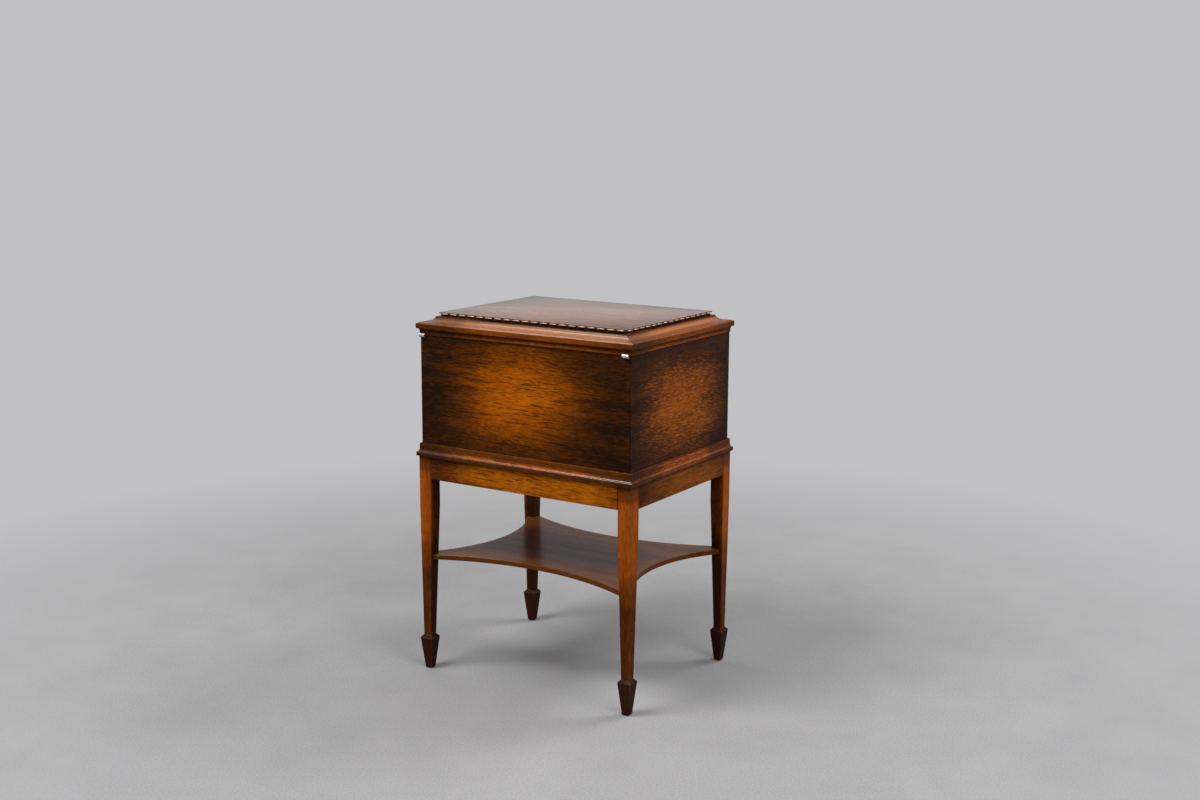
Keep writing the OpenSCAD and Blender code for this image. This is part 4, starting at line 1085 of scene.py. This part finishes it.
def bail_path():
    """Points along the wire from one eye to the other, each with the wire's radius there"""
    path = [(-ARM, 0.0, 0.0, WIRE), (-ARM, 0.0, BEND - DROP, WIRE)]
    for step in range(1, BEND_STEPS + 1):
        angle = math.pi / 2 * step / BEND_STEPS
        path.append((-ARM + BEND * (1 - math.cos(angle)), 0.0, BEND - DROP - BEND * math.sin(angle), WIRE))
    path += [(x, 0.0, -DROP, radius) for x, radius in GRIP_OUTLINE]
    return path + [(-x, y, z, radius) for x, y, z, radius in reversed(path[:-1])]


def turned(shell, centre, outline, facets=24):
    """A closed shape turned about an X axis through a centre, from pairs of place and radius"""
    rings = []
    for place, radius in outline:
        rings.append([
            shell.verts.new(centre + Vector((place, radius * math.cos(turn), radius * math.sin(turn))))
            for turn in (2 * math.pi * k / facets for k in range(facets))
        ])
    for one, other in zip(rings, rings[1:]):
        for k in range(facets):
            shell.faces.new((one[k], one[k - 1], other[k - 1], other[k]))
    shell.faces.new(rings[0])
    shell.faces.new(list(reversed(rings[-1])))


for name in ("upper_bail_left", "upper_bail_right", "lower_bail_left", "lower_bail_right"):
    origin = pivot(name)
    curve = bpy.data.curves.new(name + "_wire", "CURVE")
    curve.dimensions = "3D"
    curve.bevel_depth = 1.0
    curve.bevel_resolution = 5
    curve.use_fill_caps = True
    spline = curve.splines.new("POLY")
    path = bail_path()
    spline.points.add(len(path) - 1)
    for point, (x, y, z, radius) in zip(spline.points, path):
        point.co = (*(origin + Vector((x, y, z))), 1.0)
        point.radius = radius
    wire = bpy.data.objects.new(name + "_wire", curve)
    scene.collection.objects.link(wire)
    mesh = as_mesh(wire)
    bpy.data.objects.remove(wire)
    shell = bmesh.new()
    shell.from_mesh(mesh)
    for side in (-1, 1):
        eye = origin + Vector((side * ARM, 0, 0))
        turned(shell, eye, EYE_OUTLINE)
        turned(shell, eye, sorted((-side * place, radius) for place, radius in PIN_OUTLINE))
    bmesh.ops.remove_doubles(shell, verts=shell.verts, dist=1e-6)
    bmesh.ops.recalc_face_normals(shell, faces=shell.faces)
    shell.to_mesh(mesh)
    shell.free()
    piece = new_piece(name + "_cast", mesh, brass)
    smoothed(mesh, crisp=BAIL_SHARP)
    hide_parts(name)
    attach(piece, name)

# Studio: a plain pale floor that fades into a plain grey wall of light, and four round soft lamps
# high above it. The strongest lights the back, and two more the left side and the front.

FLOOR_RADIUS = 30.0
FLOOR_DOWN = 0.0002
WALL = srgb(193, 193, 195)
AIR = (0.17, 0.17, 0.175, 1)
FADE_START = 0.7
FADE_END = 2.2
LAMP_AIM = Vector((0, 0, 0.6))


def shown(tree):
    """1 for a ray that shows the background: from the camera, or by way of gloss or glass"""
    path = add(tree, "ShaderNodeLightPath").outputs
    return maths(tree, "MAXIMUM", path["Is Camera Ray"],
                 maths(tree, "MAXIMUM", path["Is Glossy Ray"], path["Is Transmission Ray"]))


shell = bmesh.new()
bmesh.ops.create_circle(shell, cap_ends=True, segments=96, radius=FLOOR_RADIUS,
                        matrix=Matrix.Translation((0, 0, -FLOOR_DOWN)))
material, tree, shader, place = blank("floor")
away = vectors(tree, "LENGTH", place, result="Value")
speck = noise(tree, place, (260, 260, 260), detail=3, roughness=0.7)
cloud = noise(tree, place, (5, 5, 5), detail=3, roughness=0.6)
grain = blended(tree, speck, 0.75, cloud, 0.25)
colour = ramp(tree, grain, stained((122, 121, 122), (146, 145, 146), at=(0.35, 0.65)))
tree.links.new(colour, shader.inputs["Base Color"])
shader.inputs["Roughness"].default_value = 0.75
haze = add(tree, "ShaderNodeEmission", {"Color": WALL, "Strength": 1.0})
far = maths(tree, "MULTIPLY", shown(tree), ranged(tree, away, FADE_START, FADE_END))
both = add(tree, "ShaderNodeMixShader", {0: far, 1: shader.outputs[0], 2: haze.outputs[0]})
tree.links.new(both.outputs[0], tree.nodes["Material Output"].inputs["Surface"])
floor = new_piece("floor", closed(shell, "floor"), material)

world = bpy.data.worlds.new("studio")
scene.world = world
world.use_nodes = True
tree = world.node_tree
tree.nodes.clear()
wall = add(tree, "ShaderNodeBackground", {"Color": WALL, "Strength": 1.0})
air = add(tree, "ShaderNodeBackground", {"Color": AIR, "Strength": 1.0})
both = add(tree, "ShaderNodeMixShader", {0: shown(tree), 1: air.outputs[0], 2: wall.outputs[0]})
add(tree, "ShaderNodeOutputWorld", {"Surface": both.outputs[0]})


def lamp(name, place, size, power):
    """A broad soft lamp at a place, turned to the cabinet"""
    light = bpy.data.lights.new(name, "AREA")
    light.shape = "DISK"
    light.size = size
    light.energy = power
    made = bpy.data.objects.new(name, light)
    made.location = place
    made.rotation_euler = (LAMP_AIM - Vector(place)).to_track_quat("-Z", "Y").to_euler()
    scene.collection.objects.link(made)


lamp("lamp_left", (0.95, 1.65, 3.15), size=1.6, power=122)
lamp("lamp_over", (1.3, -0.5, 3.2), size=1.0, power=14)
lamp("lamp_right", (-2.0, 0.9, 3.0), size=1.6, power=60)
lamp("lamp_front", (-1.3, -1.8, 3.0), size=1.6, power=75)
